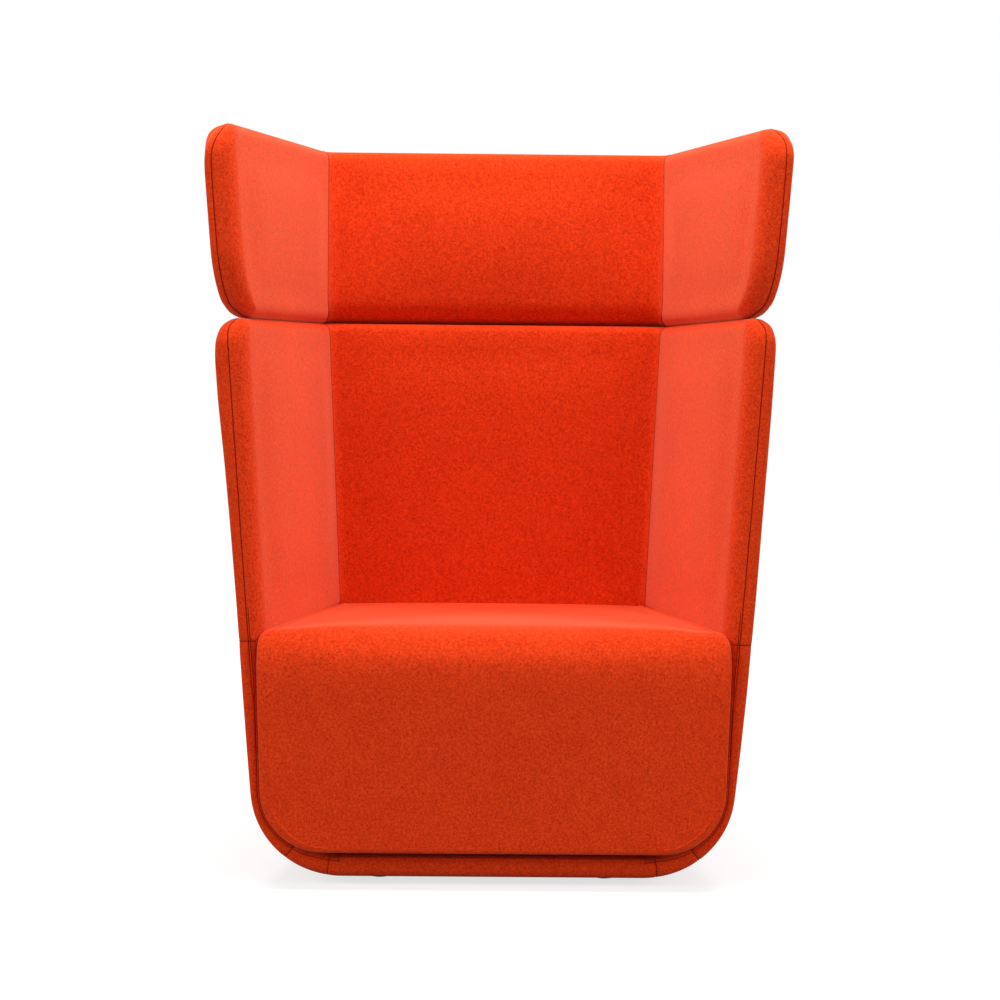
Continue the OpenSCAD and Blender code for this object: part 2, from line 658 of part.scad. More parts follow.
// Outline of a rim in depth from its face and height, drawn in by d
function rim_outline(d) = let (r = rim_r - d) concat(
    [[rim_len_y - d, d]],
    [for (i = [0 : steps]) let (a = 90 * i / steps) [rim_r - r * sin(a), rim_r - r * cos(a)]],
    [for (i = [0 : steps]) let (a = 90 * i / steps) [rim_r - r * cos(a), base_t - rim_r + r * sin(a)]],
    [[rim_len_y - d, base_t - d]]);
function rim_loop(face_y, toward, side, d) = [for (p = rim_outline(d)) let (y = face_y + toward * p[0])
    [side * (tray_half(y) - d), y, rim_z + p[1]]];
function rim_loops(face_y, toward, d) = [for (side = [-toward, toward]) rim_loop(face_y, toward, side, d)];
module rim_skin(face_y, toward) {
    sleeve(rim_loops(face_y, toward, 0), rim_loops(face_y, toward, cover_t));
}
module rim_cover() { color(wool) rim_skin(shell_y, 1); }
module rim_foam() { color(foam_colour) skin(rim_loops(shell_y, 1, cover_t + fit)); }
module rear_rim_cover() { color(wool) rim_skin(rim_back_y, -1); }
module rear_rim_foam() { color(foam_colour) skin(rim_loops(rim_back_y, -1, cover_t + fit)); }

// Steel angles hold the legs of the seat boards to the rails
angle_t = 2;
angle_w = 30;
angle_in = 62;
module seat_angle() {
    translate([-angle_w / 2, 0, 0]) {
        cube([angle_w, angle_len, angle_t]);
        cube([angle_w, angle_t, angle_len]);
    }
}
module seat_brackets() {
    color(steel)
        for (side = [-1, 1]) {
            translate([side * (leg_half(frame_front_y + rail_t) - angle_in), frame_front_y + rail_t, base_rail_top])
                seat_angle();
            translate([side * (leg_half(frame_back_y - rail_t) - angle_in), frame_back_y - rail_t, base_rail_top])
                mirror([0, 1, 0])
                    seat_angle();
        }
}

// Threaded inserts, stems and foot pads
module foot_inserts() {
    color("goldenrod")
        at_feet()
            translate([0, 0, tray_low])
                difference() {
                    cylinder(h = insert_h, d = insert_d);
                    translate([0, 0, -cut_over])
                        cylinder(h = insert_h + 2 * cut_over, d = stem_d + 2 * stem_clear);
                }
}
collar_d = 20;
collar_h = tray_low - dust_t - fit - pad_h;
ball_d = 7;
module foot_stem(i) {
    color(steel)
        translate([foot_spots[i][0], foot_spots[i][1], 0]) {
            translate([0, 0, pad_h])
                cylinder(h = collar_h, d = collar_d, $fn = 6);
            translate([0, 0, pad_h + collar_h])
                cylinder(h = stem_len, d = stem_d);
            translate([0, 0, pad_h / 2])
                cylinder(h = pad_h / 2, d = ball_d);
        }
}
pad_edge = 2;
module foot_pad(i) {
    color("dimgrey")
        translate([foot_spots[i][0], foot_spots[i][1], 0])
            difference() {
                rotate_extrude()
                    polygon([[0, 0], [pad_d / 2 - pad_edge, 0], [pad_d / 2, pad_edge],
                        [pad_d / 2, pad_h / 2], [pad_d / 2 - pad_h / 2, pad_h], [0, pad_h]]);
                translate([0, 0, pad_h / 2])
                    cylinder(h = pad_h, d = ball_d + 2 * stem_clear);
            }
}
module foot_stem_front_left() { foot_stem(0); }
module foot_stem_front_right() { foot_stem(1); }
module foot_stem_rear_left() { foot_stem(2); }
module foot_stem_rear_right() { foot_stem(3); }
module foot_pad_front_left() { foot_pad(0); }
module foot_pad_front_right() { foot_pad(1); }
module foot_pad_rear_left() { foot_pad(2); }
module foot_pad_rear_right() { foot_pad(3); }

head_left_cover();
head_left_foam();
head_left_board();
head_left_felt();
head_right_cover();
head_right_foam();
head_right_board();
head_right_felt();
head_back_cover();
head_back_foam();
head_back_board();
wall_left_cover();
wall_left_foam();
wall_left_shell();
wall_right_cover();
wall_right_foam();
wall_right_shell();
back_cover();
back_foam();
back_board();
head_post_left();
head_post_right();
post_bolts();
seat_cover();
seat_foam();
seat_front_board();
seat_rear_board();
seat_rail_left();
seat_rail_right();
seat_springs();
spring_clips();
base_board();
base_rail_front();
base_rail_rear();
dust_cover();
rim_cover();
rim_foam();
rear_rim_cover();
rear_rim_foam();
seat_brackets();
foot_inserts();
foot_stem_front_left();
foot_stem_front_right();
foot_stem_rear_left();
foot_stem_rear_right();
foot_pad_front_left();
foot_pad_front_right();
foot_pad_rear_left();
foot_pad_rear_right();
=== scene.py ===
import json
import math

import bmesh
import bpy
import numpy as np
from mathutils import Matrix, Vector


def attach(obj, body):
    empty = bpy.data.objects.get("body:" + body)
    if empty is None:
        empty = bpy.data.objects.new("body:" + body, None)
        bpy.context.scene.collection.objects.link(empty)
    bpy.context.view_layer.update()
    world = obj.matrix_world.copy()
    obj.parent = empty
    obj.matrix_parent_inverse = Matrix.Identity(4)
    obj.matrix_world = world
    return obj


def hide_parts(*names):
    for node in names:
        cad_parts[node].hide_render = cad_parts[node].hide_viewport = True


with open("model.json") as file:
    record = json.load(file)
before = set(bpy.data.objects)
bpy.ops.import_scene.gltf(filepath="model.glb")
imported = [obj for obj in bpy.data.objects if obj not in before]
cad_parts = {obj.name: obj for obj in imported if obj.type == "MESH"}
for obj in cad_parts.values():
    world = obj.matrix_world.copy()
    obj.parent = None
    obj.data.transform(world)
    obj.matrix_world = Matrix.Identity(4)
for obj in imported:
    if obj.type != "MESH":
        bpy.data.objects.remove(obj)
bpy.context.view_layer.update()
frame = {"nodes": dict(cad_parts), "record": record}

# Sizes in millimetres: most are the construction's, and the rest follow the photo
MM = 0.001
HALF_DEPTH = 370.0
TOTAL_H = 1258.0
SHELL_Y = -340.0
SPLIT_Z = 934.0
BODY_TOP = 934.2
HEAD_LOW = 933.9
CORNER_R = 150.0
CORNER_X = 253.0
RIM_Z = 15.0
BASE_T = 35.0
WALL_TOP_T = 49.0
WALL_SEAT_T = 40.0
BACK_T = 92.0
EDGE_R = 17.0
BODY_TOP_R = 45.0
HEAD_TOP_R = 60.0
HEAD_LOW_R = 115.0
REAR_R = 30.0
SEAT_H = 408.0
SEAT_LOW = 57.0
SEAT_HALF = 390.0
SEAT_TUCK = 6.0
SEAT_CORNER_R = 104.0
WATERFALL_Y = 48.0
WATERFALL_Z = 88.0
SEAT_LIFT = 4.5
SEAT_EDGE_R = 9.0
SEAT_CROWN = 3.0
SEAT_RISE_FRONT = 24.0
SEAT_RISE_REAR = 4.0
SEAT_GAP = 2.0
LEAN_DEG = 4.4
SPLAY_DEG = 9.9
RECLINE_DEG = 4.0
LEAN = math.tan(math.radians(LEAN_DEG))
SPLAY = math.tan(math.radians(SPLAY_DEG))
RECLINE = math.tan(math.radians(RECLINE_DEG))
FRONT_Y = -HALF_DEPTH
CORNER_Z = RIM_Z + CORNER_R
LEAN_X = CORNER_X + CORNER_R * math.cos(math.radians(LEAN_DEG))
LEAN_Z = CORNER_Z - CORNER_R * math.sin(math.radians(LEAN_DEG))
POCKET_DROP = 14.0
POCKET_Z = SEAT_H - POCKET_DROP
POCKET_RISE = 16.0
SEAT_LOW_HALF = SEAT_HALF - SEAT_TUCK
SEAT_CX = SEAT_LOW_HALF - SEAT_CORNER_R
SEAT_CZ = SEAT_LOW + SEAT_CORNER_R
SOFT_GAP = 0.3
BACK_LOW = RIM_Z + BASE_T + SOFT_GAP
SIDE_FIT = -0.3
CREASE_RISE_LEFT = 5.0
CREASE_RISE_RIGHT = 13.0
CREASE_REACH = 200.0
HEAD_CORNER_OUT = 1.5
HEAD_FILLET = 20.0
BACK_FILLET = 12.0
LOW_ROLL = 52.0
LOW_ROLL_IN = 49.0
JOIN_OVER = 0.1
TRAY_DEPTH = 34.0

# Seams: how deep they pull in, and where they run
SEAM_DEPTH = 2.4
SEAM_HALF = 1.5
THREAD_R = 0.6
CROSS_SEAM_Z = 408.0
CORNER_SEAM_A = -52.0
RIM_SEAM_A = -81.5
SWELL = 4.5
BACK_SWELL = 6.5
# Distance of the edge seam from the outer face, at the lower and upper end of a wing and of a wall
WING_SEAM = (11.5, 16.0)
WALL_SEAM = (17.0, 20.0)
LOW_SEAM_IN = 4.0
LOW_SEAM_FADE = (60.0, 150.0)
# A second row of stitches beside the edge seam, from one height to another
TWIN_SEAM_Z = (210.0, 470.0)
TWIN_SEAM_STEP = 3.4
# Soft ends of the walls, each as its reach in thickness and in height: at the top in front, on the left
# wing, behind, and in addition behind for the lower walls and for each wing; then at a wing's lower end
TOP_SOFT = (27.0, 46.0)
LEFT_SOFT = (35.0, 84.0)
TOP_SOFT_REAR_T = 8.5
TOP_SOFT_REAR_Z = 46.0
BODY_TOP_MORE = (22.0, 19.0)
LEFT_TOP_MORE = (17.0, 24.0)
RIGHT_TOP_MORE = (4.0, 20.0)
LOW_SOFT = (34.0, 30.0)
LOW_IN = (22.0, 26.0)
# How far the covers of the lower walls stand out: height, left and right
STAND_OUT = [(150.0, 0.0, 0.0), (230.0, 1.0, 3.0), (330.0, 1.5, 5.5), (480.0, 1.5, 6.0), (600.0, 2.0, 4.5),
             (700.0, 3.5, 3.5), (800.0, 6.5, 2.5), (870.0, 6.5, 1.0), (905.0, 3.0, 0.0), (935.0, 0.0, 0.0)]


def mix(a, b, u):
    return a + (b - a) * u


# Camera, found from the photograph's vanishing points and the chair's own corners, in millimetres, pixels
# and degrees
CAM_X = -27.4
CAM_Y = -4137.2
CAM_Z = 909.5
CAM_F = 2321.1
CAM_PITCH = 3.985
CAM_ROLL = 0.551
CAM_YAW = 0.519
SENSOR = 36.0
PHOTO_SIZE = 1000.0
CLIP_END = 60.0


def make_camera():
    data = bpy.data.cameras.new("camera")
    data.sensor_width = SENSOR
    data.lens = CAM_F * SENSOR / PHOTO_SIZE
    data.clip_end = CLIP_END
    cam = bpy.data.objects.new("camera", data)
    bpy.context.scene.collection.objects.link(cam)
    turn = Matrix.Rotation(math.radians(-CAM_YAW), 4, "Z")
    tilt = Matrix.Rotation(math.radians(90.0 - CAM_PITCH), 4, "X")
    roll = Matrix.Rotation(math.radians(CAM_ROLL), 4, "Z")
    place = Matrix.Translation((CAM_X * MM, CAM_Y * MM, CAM_Z * MM))
    cam.matrix_world = place @ turn @ tilt @ roll
    bpy.context.scene.camera = cam


def area_light(name, place, target, size, size_y, power):
    """A rectangular lamp at a place, turned to a target."""
    data = bpy.data.lights.new(name, "AREA")
    data.shape = "RECTANGLE"
    data.size = size
    data.size_y = size_y
    data.energy = power
    lamp = bpy.data.objects.new(name, data)
    bpy.context.scene.collection.objects.link(lamp)
    lamp.location = place
    aim = Vector(target) - Vector(place)
    lamp.rotation_euler = aim.to_track_quat("-Z", "Y").to_euler()


# Name, place, target, width, height and power, in metres and watts
LIGHTS = [
    ("top_light", (0.0, -0.25, 2.9), (0.0, 0.0, 0.6), 2.2, 1.2, 82.0),
    ("front_light", (0.0, -4.6, 2.4), (0.0, 0.0, 0.8), 3.6, 2.4, 31.0),
    ("left_light", (-3.4, -2.2, 2.0), (0.1, 0.0, 0.9), 1.2, 2.0, 71.0),
    ("right_light", (3.4, -2.2, 2.0), (-0.1, 0.0, 0.9), 1.2, 2.0, 71.0),
    ("rear_light", (0.0, 4.0, 2.6), (0.0, 0.0, 0.6), 3.2, 2.2, 64.0),
]
WORLD_LIGHT = 0.10
WHITE = (1.0, 1.0, 1.0, 1.0)


def make_world():
    """A white background for the camera, and a dim, even light for the chair."""
    scene = bpy.context.scene
    scene.view_settings.view_transform = "Standard"
    world = bpy.data.worlds.new("studio")
    scene.world = world
    world.use_nodes = True
    nodes = world.node_tree.nodes
    links = world.node_tree.links
    nodes.clear()
    out = nodes.new("ShaderNodeOutputWorld")
    soft = nodes.new("ShaderNodeBackground")
    soft.inputs["Color"].default_value = WHITE
    soft.inputs["Strength"].default_value = WORLD_LIGHT
    white = nodes.new("ShaderNodeBackground")
    white.inputs["Color"].default_value = WHITE
    white.inputs["Strength"].default_value = 1.0
    swap = nodes.new("ShaderNodeMixShader")
    path = nodes.new("ShaderNodeLightPath")
    most = nodes.new("ShaderNodeMath")
    most.operation = "MAXIMUM"
    more = nodes.new("ShaderNodeMath")
    more.operation = "MAXIMUM"
    links.new(path.outputs["Is Camera Ray"], most.inputs[0])
    links.new(path.outputs["Is Glossy Ray"], most.inputs[1])
    links.new(most.outputs[0], more.inputs[0])
    links.new(path.outputs["Is Transmission Ray"], more.inputs[1])
    links.new(more.outputs[0], swap.inputs[0])
    links.new(soft.outputs[0], swap.inputs[1])
    links.new(white.outputs[0], swap.inputs[2])
    links.new(swap.outputs[0], out.inputs["Surface"])


# The floor, in metres: its own glow, seen by the camera alone, keeps it pale and grows away from the chair
FLOOR_SIZE = 40.0
FLOOR_GREY = (0.38, 0.38, 0.38, 1.0)
GLOW_NEAR = 0.72
GLOW_FAR = 0.97
GLOW_FROM = 0.8
GLOW_TO = 4.5


def make_floor():
    """A pale floor that also glows a little for the camera."""
    bpy.ops.mesh.primitive_plane_add(size=FLOOR_SIZE, location=(0.0, 0.0, 0.0))
    floor = bpy.context.object
    floor.name = "floor"
    mat = bpy.data.materials.new("floor_paper")
    mat.use_nodes = True
    nodes = mat.node_tree.nodes
    links = mat.node_tree.links
    nodes.clear()
    out = nodes.new("ShaderNodeOutputMaterial")
    paper = nodes.new("ShaderNodeBsdfDiffuse")
    paper.inputs["Color"].default_value = FLOOR_GREY
    glow = nodes.new("ShaderNodeEmission")
    glow.inputs["Color"].default_value = WHITE
    path = nodes.new("ShaderNodeLightPath")
    place = nodes.new("ShaderNodeTexCoord")
    far = nodes.new("ShaderNodeVectorMath")
    far.operation = "LENGTH"
    fade = nodes.new("ShaderNodeMapRange")
    fade.inputs["From Min"].default_value = GLOW_FROM
    fade.inputs["From Max"].default_value = GLOW_TO
    fade.inputs["To Min"].default_value = GLOW_NEAR
    fade.inputs["To Max"].default_value = GLOW_FAR
    seen = nodes.new("ShaderNodeMath")
    seen.operation = "MULTIPLY"
    both = nodes.new("ShaderNodeAddShader")
    links.new(place.outputs["Object"], far.inputs[0])
    links.new(far.outputs["Value"], fade.inputs["Value"])
    links.new(path.outputs["Is Camera Ray"], seen.inputs[0])
    links.new(fade.outputs["Result"], seen.inputs[1])
    links.new(seen.outputs[0], glow.inputs["Strength"])
    links.new(paper.outputs[0], both.inputs[0])
    links.new(glow.outputs[0], both.inputs[1])
    links.new(both.outputs[0], out.inputs["Surface"])
    floor.data.materials.append(mat)


make_camera()
make_world()
for light in LIGHTS:
    area_light(*light)
make_floor()


# Materials
def new_material(name):
    mat = bpy.data.materials.new(name)
    mat.use_nodes = True
    tree = mat.node_tree
    return mat, tree, tree.nodes["Principled BSDF"]


def noise(tree, scale, detail, rough, coords):
    node = tree.nodes.new("ShaderNodeTexNoise")
    node.inputs["Scale"].default_value = scale
    node.inputs["Detail"].default_value = detail
    node.inputs["Roughness"].default_value = rough
    tree.links.new(coords, node.inputs["Vector"])
    return node.outputs["Fac"]


def ramp(tree, source, stops):
    """Colours along a value, from stops of a place and a colour each."""
    node = tree.nodes.new("ShaderNodeValToRGB")
    el = node.color_ramp.elements
    el[0].position, el[0].color = stops[0]
    el[1].position, el[1].color = stops[-1]
    for place, colour in stops[1:-1]:
        new = el.new(place)
        new.color = colour
    tree.links.new(source, node.inputs["Fac"])
    return node.outputs["Color"]


def bump(tree, shader, source, strength, distance, below=None):
    """A bump from a value, over another bump where one is given."""
    node = tree.nodes.new("ShaderNodeBump")
    node.inputs["Strength"].default_value = strength
    node.inputs["Distance"].default_value = distance
    tree.links.new(source, node.inputs["Height"])
    if below is not None:
        tree.links.new(below, node.inputs["Normal"])
    if shader is not None:
        tree.links.new(node.outputs["Normal"], shader.inputs["Normal"])
    return node.outputs["Normal"]


def object_coords(tree):
    return tree.nodes.new("ShaderNodeTexCoord").outputs["Object"]


def blend_colours(tree, fac, a, b, mode="MIX"):
    """Two colours, each a value or a socket, blended by a share."""
    node = tree.nodes.new("ShaderNodeMix")
    node.data_type = "RGBA"
    node.blend_type = mode
    if isinstance(fac, float):
        node.inputs[0].default_value = fac
    else:
        tree.links.new(fac, node.inputs[0])
    for socket, value in ((node.inputs[6], a), (node.inputs[7], b)):
        if isinstance(value, tuple):
            socket.default_value = value
        else:
            tree.links.new(value, socket)
    return node.outputs[2]


WOOL = (0.78, 0.050, 0.006, 1.0)
WOOL_DARK = (0.60, 0.028, 0.003, 1.0)
WOOL_LIGHT = (0.92, 0.078, 0.013, 1.0)
FIBRE_SHADE = (0.86, 0.78, 0.74, 1.0)
STRAND_SHADE = (0.42, 0.30, 0.25, 1.0)
CLOUD_SHADE = (0.95, 0.93, 0.93, 1.0)
MOTTLE_SHADE = (0.93, 0.89, 0.88, 1.0)
SHEEN_TINT = (1.0, 0.40, 0.23, 1.0)
# The thread's two tones are dark reds: painted shade of the seam grooves, given to the real stitches that
# lie in them
THREAD_GROOVE_SHADE_DARK = (0.16, 0.006, 0.001, 1.0)
THREAD_GROOVE_SHADE_LIGHT = (0.30, 0.012, 0.002, 1.0)
# How fine each pattern is: larger is finer
FIBRE_SCALE = 900.0
STRAND_SCALE = 430.0
SPECK_SCALE = 230.0
MOTTLE_SCALE = 85.0
CLOUD_SCALE = 11.0
TWIST_SCALE = 1600.0


def wool_material(name):
    """Felted wool: melange of fine fibres, soft blotches and a matt fibrous bump."""
    mat, tree, shader = new_material(name)
    xyz = object_coords(tree)
    fibres = noise(tree, FIBRE_SCALE, 5.0, 0.7, xyz)
    specks = noise(tree, SPECK_SCALE, 4.0, 0.7, xyz)
    clouds = noise(tree, CLOUD_SCALE, 3.0, 0.5, xyz)
    melange = ramp(tree, specks, [(0.32, WOOL_DARK), (0.52, WOOL), (0.72, WOOL_LIGHT)])
    fine = ramp(tree, fibres, [(0.34, FIBRE_SHADE), (0.62, WHITE)])
    colour = blend_colours(tree, 0.7, melange, fine, "MULTIPLY")
    strands = noise(tree, STRAND_SCALE, 2.0, 0.5, xyz)
    dark = ramp(tree, strands, [(0.30, STRAND_SHADE), (0.40, WHITE)])
    colour = blend_colours(tree, 0.85, colour, dark, "MULTIPLY")
    broad = ramp(tree, clouds, [(0.3, CLOUD_SHADE), (0.7, WHITE)])
    colour = blend_colours(tree, 1.0, colour, broad, "MULTIPLY")
    blotches = noise(tree, MOTTLE_SCALE, 4.0, 0.65, xyz)
    mottle = ramp(tree, blotches, [(0.36, MOTTLE_SHADE), (0.6, WHITE)])
    colour = blend_colours(tree, 1.0, colour, mottle, "MULTIPLY")
    tree.links.new(colour, shader.inputs["Base Color"])
    shader.inputs["Roughness"].default_value = 0.95
    shader.inputs["Specular IOR Level"].default_value = 0.06
    shader.inputs["Sheen Weight"].default_value = 0.44
    shader.inputs["Sheen Roughness"].default_value = 0.45
    shader.inputs["Sheen Tint"].default_value = SHEEN_TINT
    low = bump(tree, None, specks, 0.3, 0.0005)
    bump(tree, shader, fibres, 0.4, 0.0003, low)
    return mat


# Seam thread whose dark red colour is painted shade of the seam grooves; the stitches themselves are real
def groove_shaded_thread_material():
    mat, tree, shader = new_material("wool_thread_painted_groove_shade")
    xyz = object_coords(tree)
    twist = noise(tree, TWIST_SCALE, 2.0, 0.5, xyz)
    # Painted groove shade: the thread's colour runs between two dark reds along the twist pattern
    colour = ramp(tree, twist, [(0.3, THREAD_GROOVE_SHADE_DARK), (0.7, THREAD_GROOVE_SHADE_LIGHT)])
    tree.links.new(colour, shader.inputs["Base Color"])
    shader.inputs["Roughness"].default_value = 0.9
    shader.inputs["Specular IOR Level"].default_value = 0.0
    bump(tree, shader, twist, 0.4, 0.0003)
    return mat


def plain_material(name, dark, light, scale, rough, metal=0.0, bump_by=0.2, stretch=(1.0, 1.0, 1.0)):
    mat, tree, shader = new_material(name)
    mapping = tree.nodes.new("ShaderNodeMapping")
    mapping.inputs["Scale"].default_value = stretch
    tree.links.new(object_coords(tree), mapping.inputs["Vector"])
    grain = noise(tree, scale, 5.0, 0.6, mapping.outputs["Vector"])
    colour = ramp(tree, grain, [(0.35, dark), (0.68, light)])
    tree.links.new(colour, shader.inputs["Base Color"])
    shader.inputs["Roughness"].default_value = rough
    shader.inputs["Metallic"].default_value = metal
    bump(tree, shader, grain, bump_by, 0.0004)
    return mat


wool = wool_material("wool_felt")
groove_shaded_thread = groove_shaded_thread_material()
foam_mat = plain_material("cut_foam", (0.62, 0.55, 0.34, 1.0), (0.80, 0.73, 0.50, 1.0), 420.0, 0.95,
                          bump_by=0.6)
felt_mat = plain_material("pressed_felt", (0.05, 0.05, 0.055, 1.0), (0.12, 0.12, 0.13, 1.0), 600.0, 0.95,
                          bump_by=0.5)
ply_mat = plain_material("birch_ply", (0.42, 0.27, 0.14, 1.0), (0.66, 0.48, 0.29, 1.0), 24.0, 0.6,
                         bump_by=0.15, stretch=(1.0, 9.0, 9.0))
zinc_mat = plain_material("zinc_steel", (0.42, 0.43, 0.45, 1.0), (0.62, 0.63, 0.65, 1.0), 160.0, 0.34,
                          metal=1.0, bump_by=0.08)
black_mat = plain_material("black_powder", (0.012, 0.012, 0.013, 1.0), (0.03, 0.03, 0.032, 1.0), 900.0, 0.5,
                           bump_by=0.35)
nylon_mat = plain_material("black_nylon", (0.014, 0.014, 0.015, 1.0), (0.035, 0.035, 0.037, 1.0), 700.0,
                           0.45)
lining_mat = plain_material("spunbond", (0.010, 0.010, 0.011, 1.0), (0.035, 0.035, 0.036, 1.0), 1200.0, 0.9,
                            bump_by=0.7)
brass_mat = plain_material("plain_brass", (0.52, 0.36, 0.13, 1.0), (0.72, 0.53, 0.24, 1.0), 220.0, 0.3,
                           metal=1.0, bump_by=0.08)

NODE_LOOKS = {"foam": foam_mat, "felt": felt_mat, "plywood": ply_mat, "steel": zinc_mat,
              "black_steel": black_mat, "black_plastic": nylon_mat, "lining": lining_mat,
              "brass": brass_mat, "wool": wool}


def dress_cad_nodes():
    """Gives every node of the construction the material that its slot names."""
    for part in frame["record"]["subparts"]:
        obj = frame["nodes"][part["node"]]
        look = NODE_LOOKS[part["material_slot"]]
        if not obj.material_slots:
            obj.data.materials.append(look)
        for held in obj.material_slots:
            held.material = look


dress_cad_nodes()


# The chair's form, in millimetres
def back_out_y(z):
    """The rear line of the chair at a height."""
    return HALF_DEPTH - (TOTAL_H - z) * RECLINE


def back_in_y(z):
    """The front face of the backs at a height."""
    return back_out_y(z) - BACK_T


def outer_x(z):
    """The outer face of a wall at a height, at the front."""
    return LEAN_X + (z - LEAN_Z) * LEAN


def wall_t(z):
    """A wall's thickness at a height: thin beside the seat, and thicker above it."""
    low_t = LEAN_X - SEAT_LOW_HALF - SEAT_GAP
    pocket_t = outer_x(POCKET_Z) - SEAT_HALF - SEAT_GAP
    if z >= BODY_TOP:
        return WALL_TOP_T
    if z <= POCKET_Z:
        return mix(low_t, pocket_t, (z - LEAN_Z) / (POCKET_Z - LEAN_Z))
    if z <= POCKET_Z + POCKET_RISE:
        return mix(pocket_t, WALL_SEAT_T, (z - POCKET_Z) / POCKET_RISE)
    above = POCKET_Z + POCKET_RISE
    return mix(WALL_SEAT_T, WALL_TOP_T, (z - above) / (BODY_TOP - above))


def arc_t(a):
    """The thickness round the bottom corner, at an angle from the corner's centre."""
    x = CORNER_X + CORNER_R * math.cos(a)
    z = CORNER_Z + CORNER_R * math.sin(a)
    return min(BASE_T, math.hypot(x - SEAT_CX, z - SEAT_CZ) - SEAT_CORNER_R - SEAT_GAP)


def arc_hollow(a):
    """Height and half-width of the inside of the bottom corner, at an angle."""
    r = CORNER_R - arc_t(a)
    return (CORNER_Z + r * math.sin(a), CORNER_X + r * math.cos(a))


HOLLOW_N = 20
HOLLOW = [arc_hollow(math.radians(mix(-90.0, -LEAN_DEG, i / HOLLOW_N))) for i in range(HOLLOW_N + 1)]
HOLLOW_Z = [v[0] for v in HOLLOW]
HOLLOW_X = [v[1] for v in HOLLOW]


def inner_x(z):
    """The inner face of a wall at a height, at the front."""
    if z > HOLLOW_Z[-1]:
        return outer_x(z) - wall_t(z)
    return float(np.interp(z, HOLLOW_Z, HOLLOW_X))


CORNER_HALF = inner_x(SPLIT_Z) - SPLAY * (back_in_y(SPLIT_Z) - SHELL_Y)


def splay_at(z):
    """How fast the walls close in towards the rear at a height."""
    if z <= SPLIT_Z:
        return SPLAY
    return (inner_x(z) - CORNER_HALF - HEAD_CORNER_OUT) / (back_in_y(z) - SHELL_Y)


def round_y(e, r):
    """How far a rounded corner of radius r draws the front line back, e from the end."""
    if e >= r:
        return 0.0
    return r - math.sqrt(max(0.0, r * r - (r - e) ** 2))


def near_rise(value, low, high):
    """A smooth rise from 0 to 1 between two values."""
    u = min(1.0, max(0.0, (value - low) / (high - low)))
    return u * u * (3 - 2 * u)


def seam_at(z):
    """Distance of the edge seam from the outer face."""
    if z >= HEAD_LOW:
        return mix(*WING_SEAM, (z - HEAD_LOW) / (TOTAL_H - HEAD_LOW))
    if z >= CROSS_SEAM_Z:
        return mix(*WALL_SEAM, (z - CROSS_SEAM_Z) / (BODY_TOP - CROSS_SEAM_Z))
    return mix(WALL_SEAM[0], wall_t(z) - LOW_SEAM_IN, near_rise(CROSS_SEAM_Z - z, *LOW_SEAM_FADE))


def end_inset(e, reach_t, reach_z):
    """Inset of a face at a rounded end, e from that end."""
    if e >= reach_z:
        return 0.0
    return reach_t * (1 - math.sqrt(max(0.0, 1 - ((reach_z - e) / reach_z) ** 2)))


def stand_out(z, side):
    """How far a lower wall's outer face stands out, left or right."""
    return float(np.interp(z, [v[0] for v in STAND_OUT], [v[1 if side < 0 else 2] for v in STAND_OUT]))


# What is left at least of a wall's thickness at its rounded ends, in front and behind
LEAST_FRONT_T = 4.0
LEAST_REAR_T = 2.0


def wall_station(z, front, outer=0.0, inner=0.0, outer_rear=0.0, rear=0.0):
    """One level of a wall: its thickness, front and rear lines, and how far each face is drawn in there."""
    t = wall_t(z)
    return {"x": outer_x(z), "z": z, "nx": -1.0, "nz": 0.0, "t": t, "front": front,
            "rear": back_out_y(z) - rear, "outer": min(outer, t - inner - LEAST_FRONT_T),
            "outer_rear": min(outer_rear, t - inner - LEAST_REAR_T), "inner": inner,
            "seam": seam_at(z), "groove": 0.0}


def arc_station(a):
    """One station round the bottom corner, at an angle from the corner's centre."""
    x = CORNER_X + CORNER_R * math.cos(a)
    z = CORNER_Z + CORNER_R * math.sin(a)
    return {"x": x, "z": z, "nx": -math.cos(a), "nz": -math.sin(a), "t": arc_t(a), "front": SHELL_Y,
            "rear": back_out_y(z), "outer": 0.0, "outer_rear": 0.0, "inner": 0.0,
            "seam": arc_t(a) - LOW_SEAM_IN, "groove": 0.0}


# Steps round a wall's outer edge, its inner edge, along a face and round the rear, and the seam's place
ARC_N = 7
SOFT_N = 9
FACE_N = 30
REAR_N = 5
SEAM_INDEX = ARC_N + 2
# Reach of the soft inner edge, as a share of the wall's thickness, and its depth where the wall is thick
INNER_SOFT_SHARE = 0.56
INNER_SOFT_Y = 34.0
THICK_FROM = 20.0
THICK_BY = 25.0
# Depth of the outer roundover as a share of its reach, and the seam's room as shares of the span
EDGE_DEPTH_SHARE = 0.8
SEAM_ROOM_OUT = 0.42
SEAM_ROOM_IN = 0.2
# How the outer inset passes from the front corner's to the rear one's, and how its columns crowd there
FADE_FROM = 3.0
FADE_TO = 24.0
CROWDING = 1.7
# Smallest reaches that keep a section from folding, and the part of a thin span that a seam may take
SPARE = 0.3
TINY = 0.2
LEAST_EDGE = 0.5
LEAST_SOFT = 0.4
LEAST_REAR = 0.6
SEAM_PART = 10
# A seam across a wall pulls its sides in less than its front, which ends at this depth
CROSS_SIDE_SHARE = 0.5
CROSS_FRONT = 4.0
CROSS_POINTS = ARC_N + 8
# Groove weight of the points on both sides of a seam
BESIDE_EDGE_SEAM = 0.1
BESIDE_SEAM = 0.15
# How deep the threads lie in their seams
THREAD_SINK = 0.55
CROSS_SINK = 0.6
TWIN_SINK = 0.2


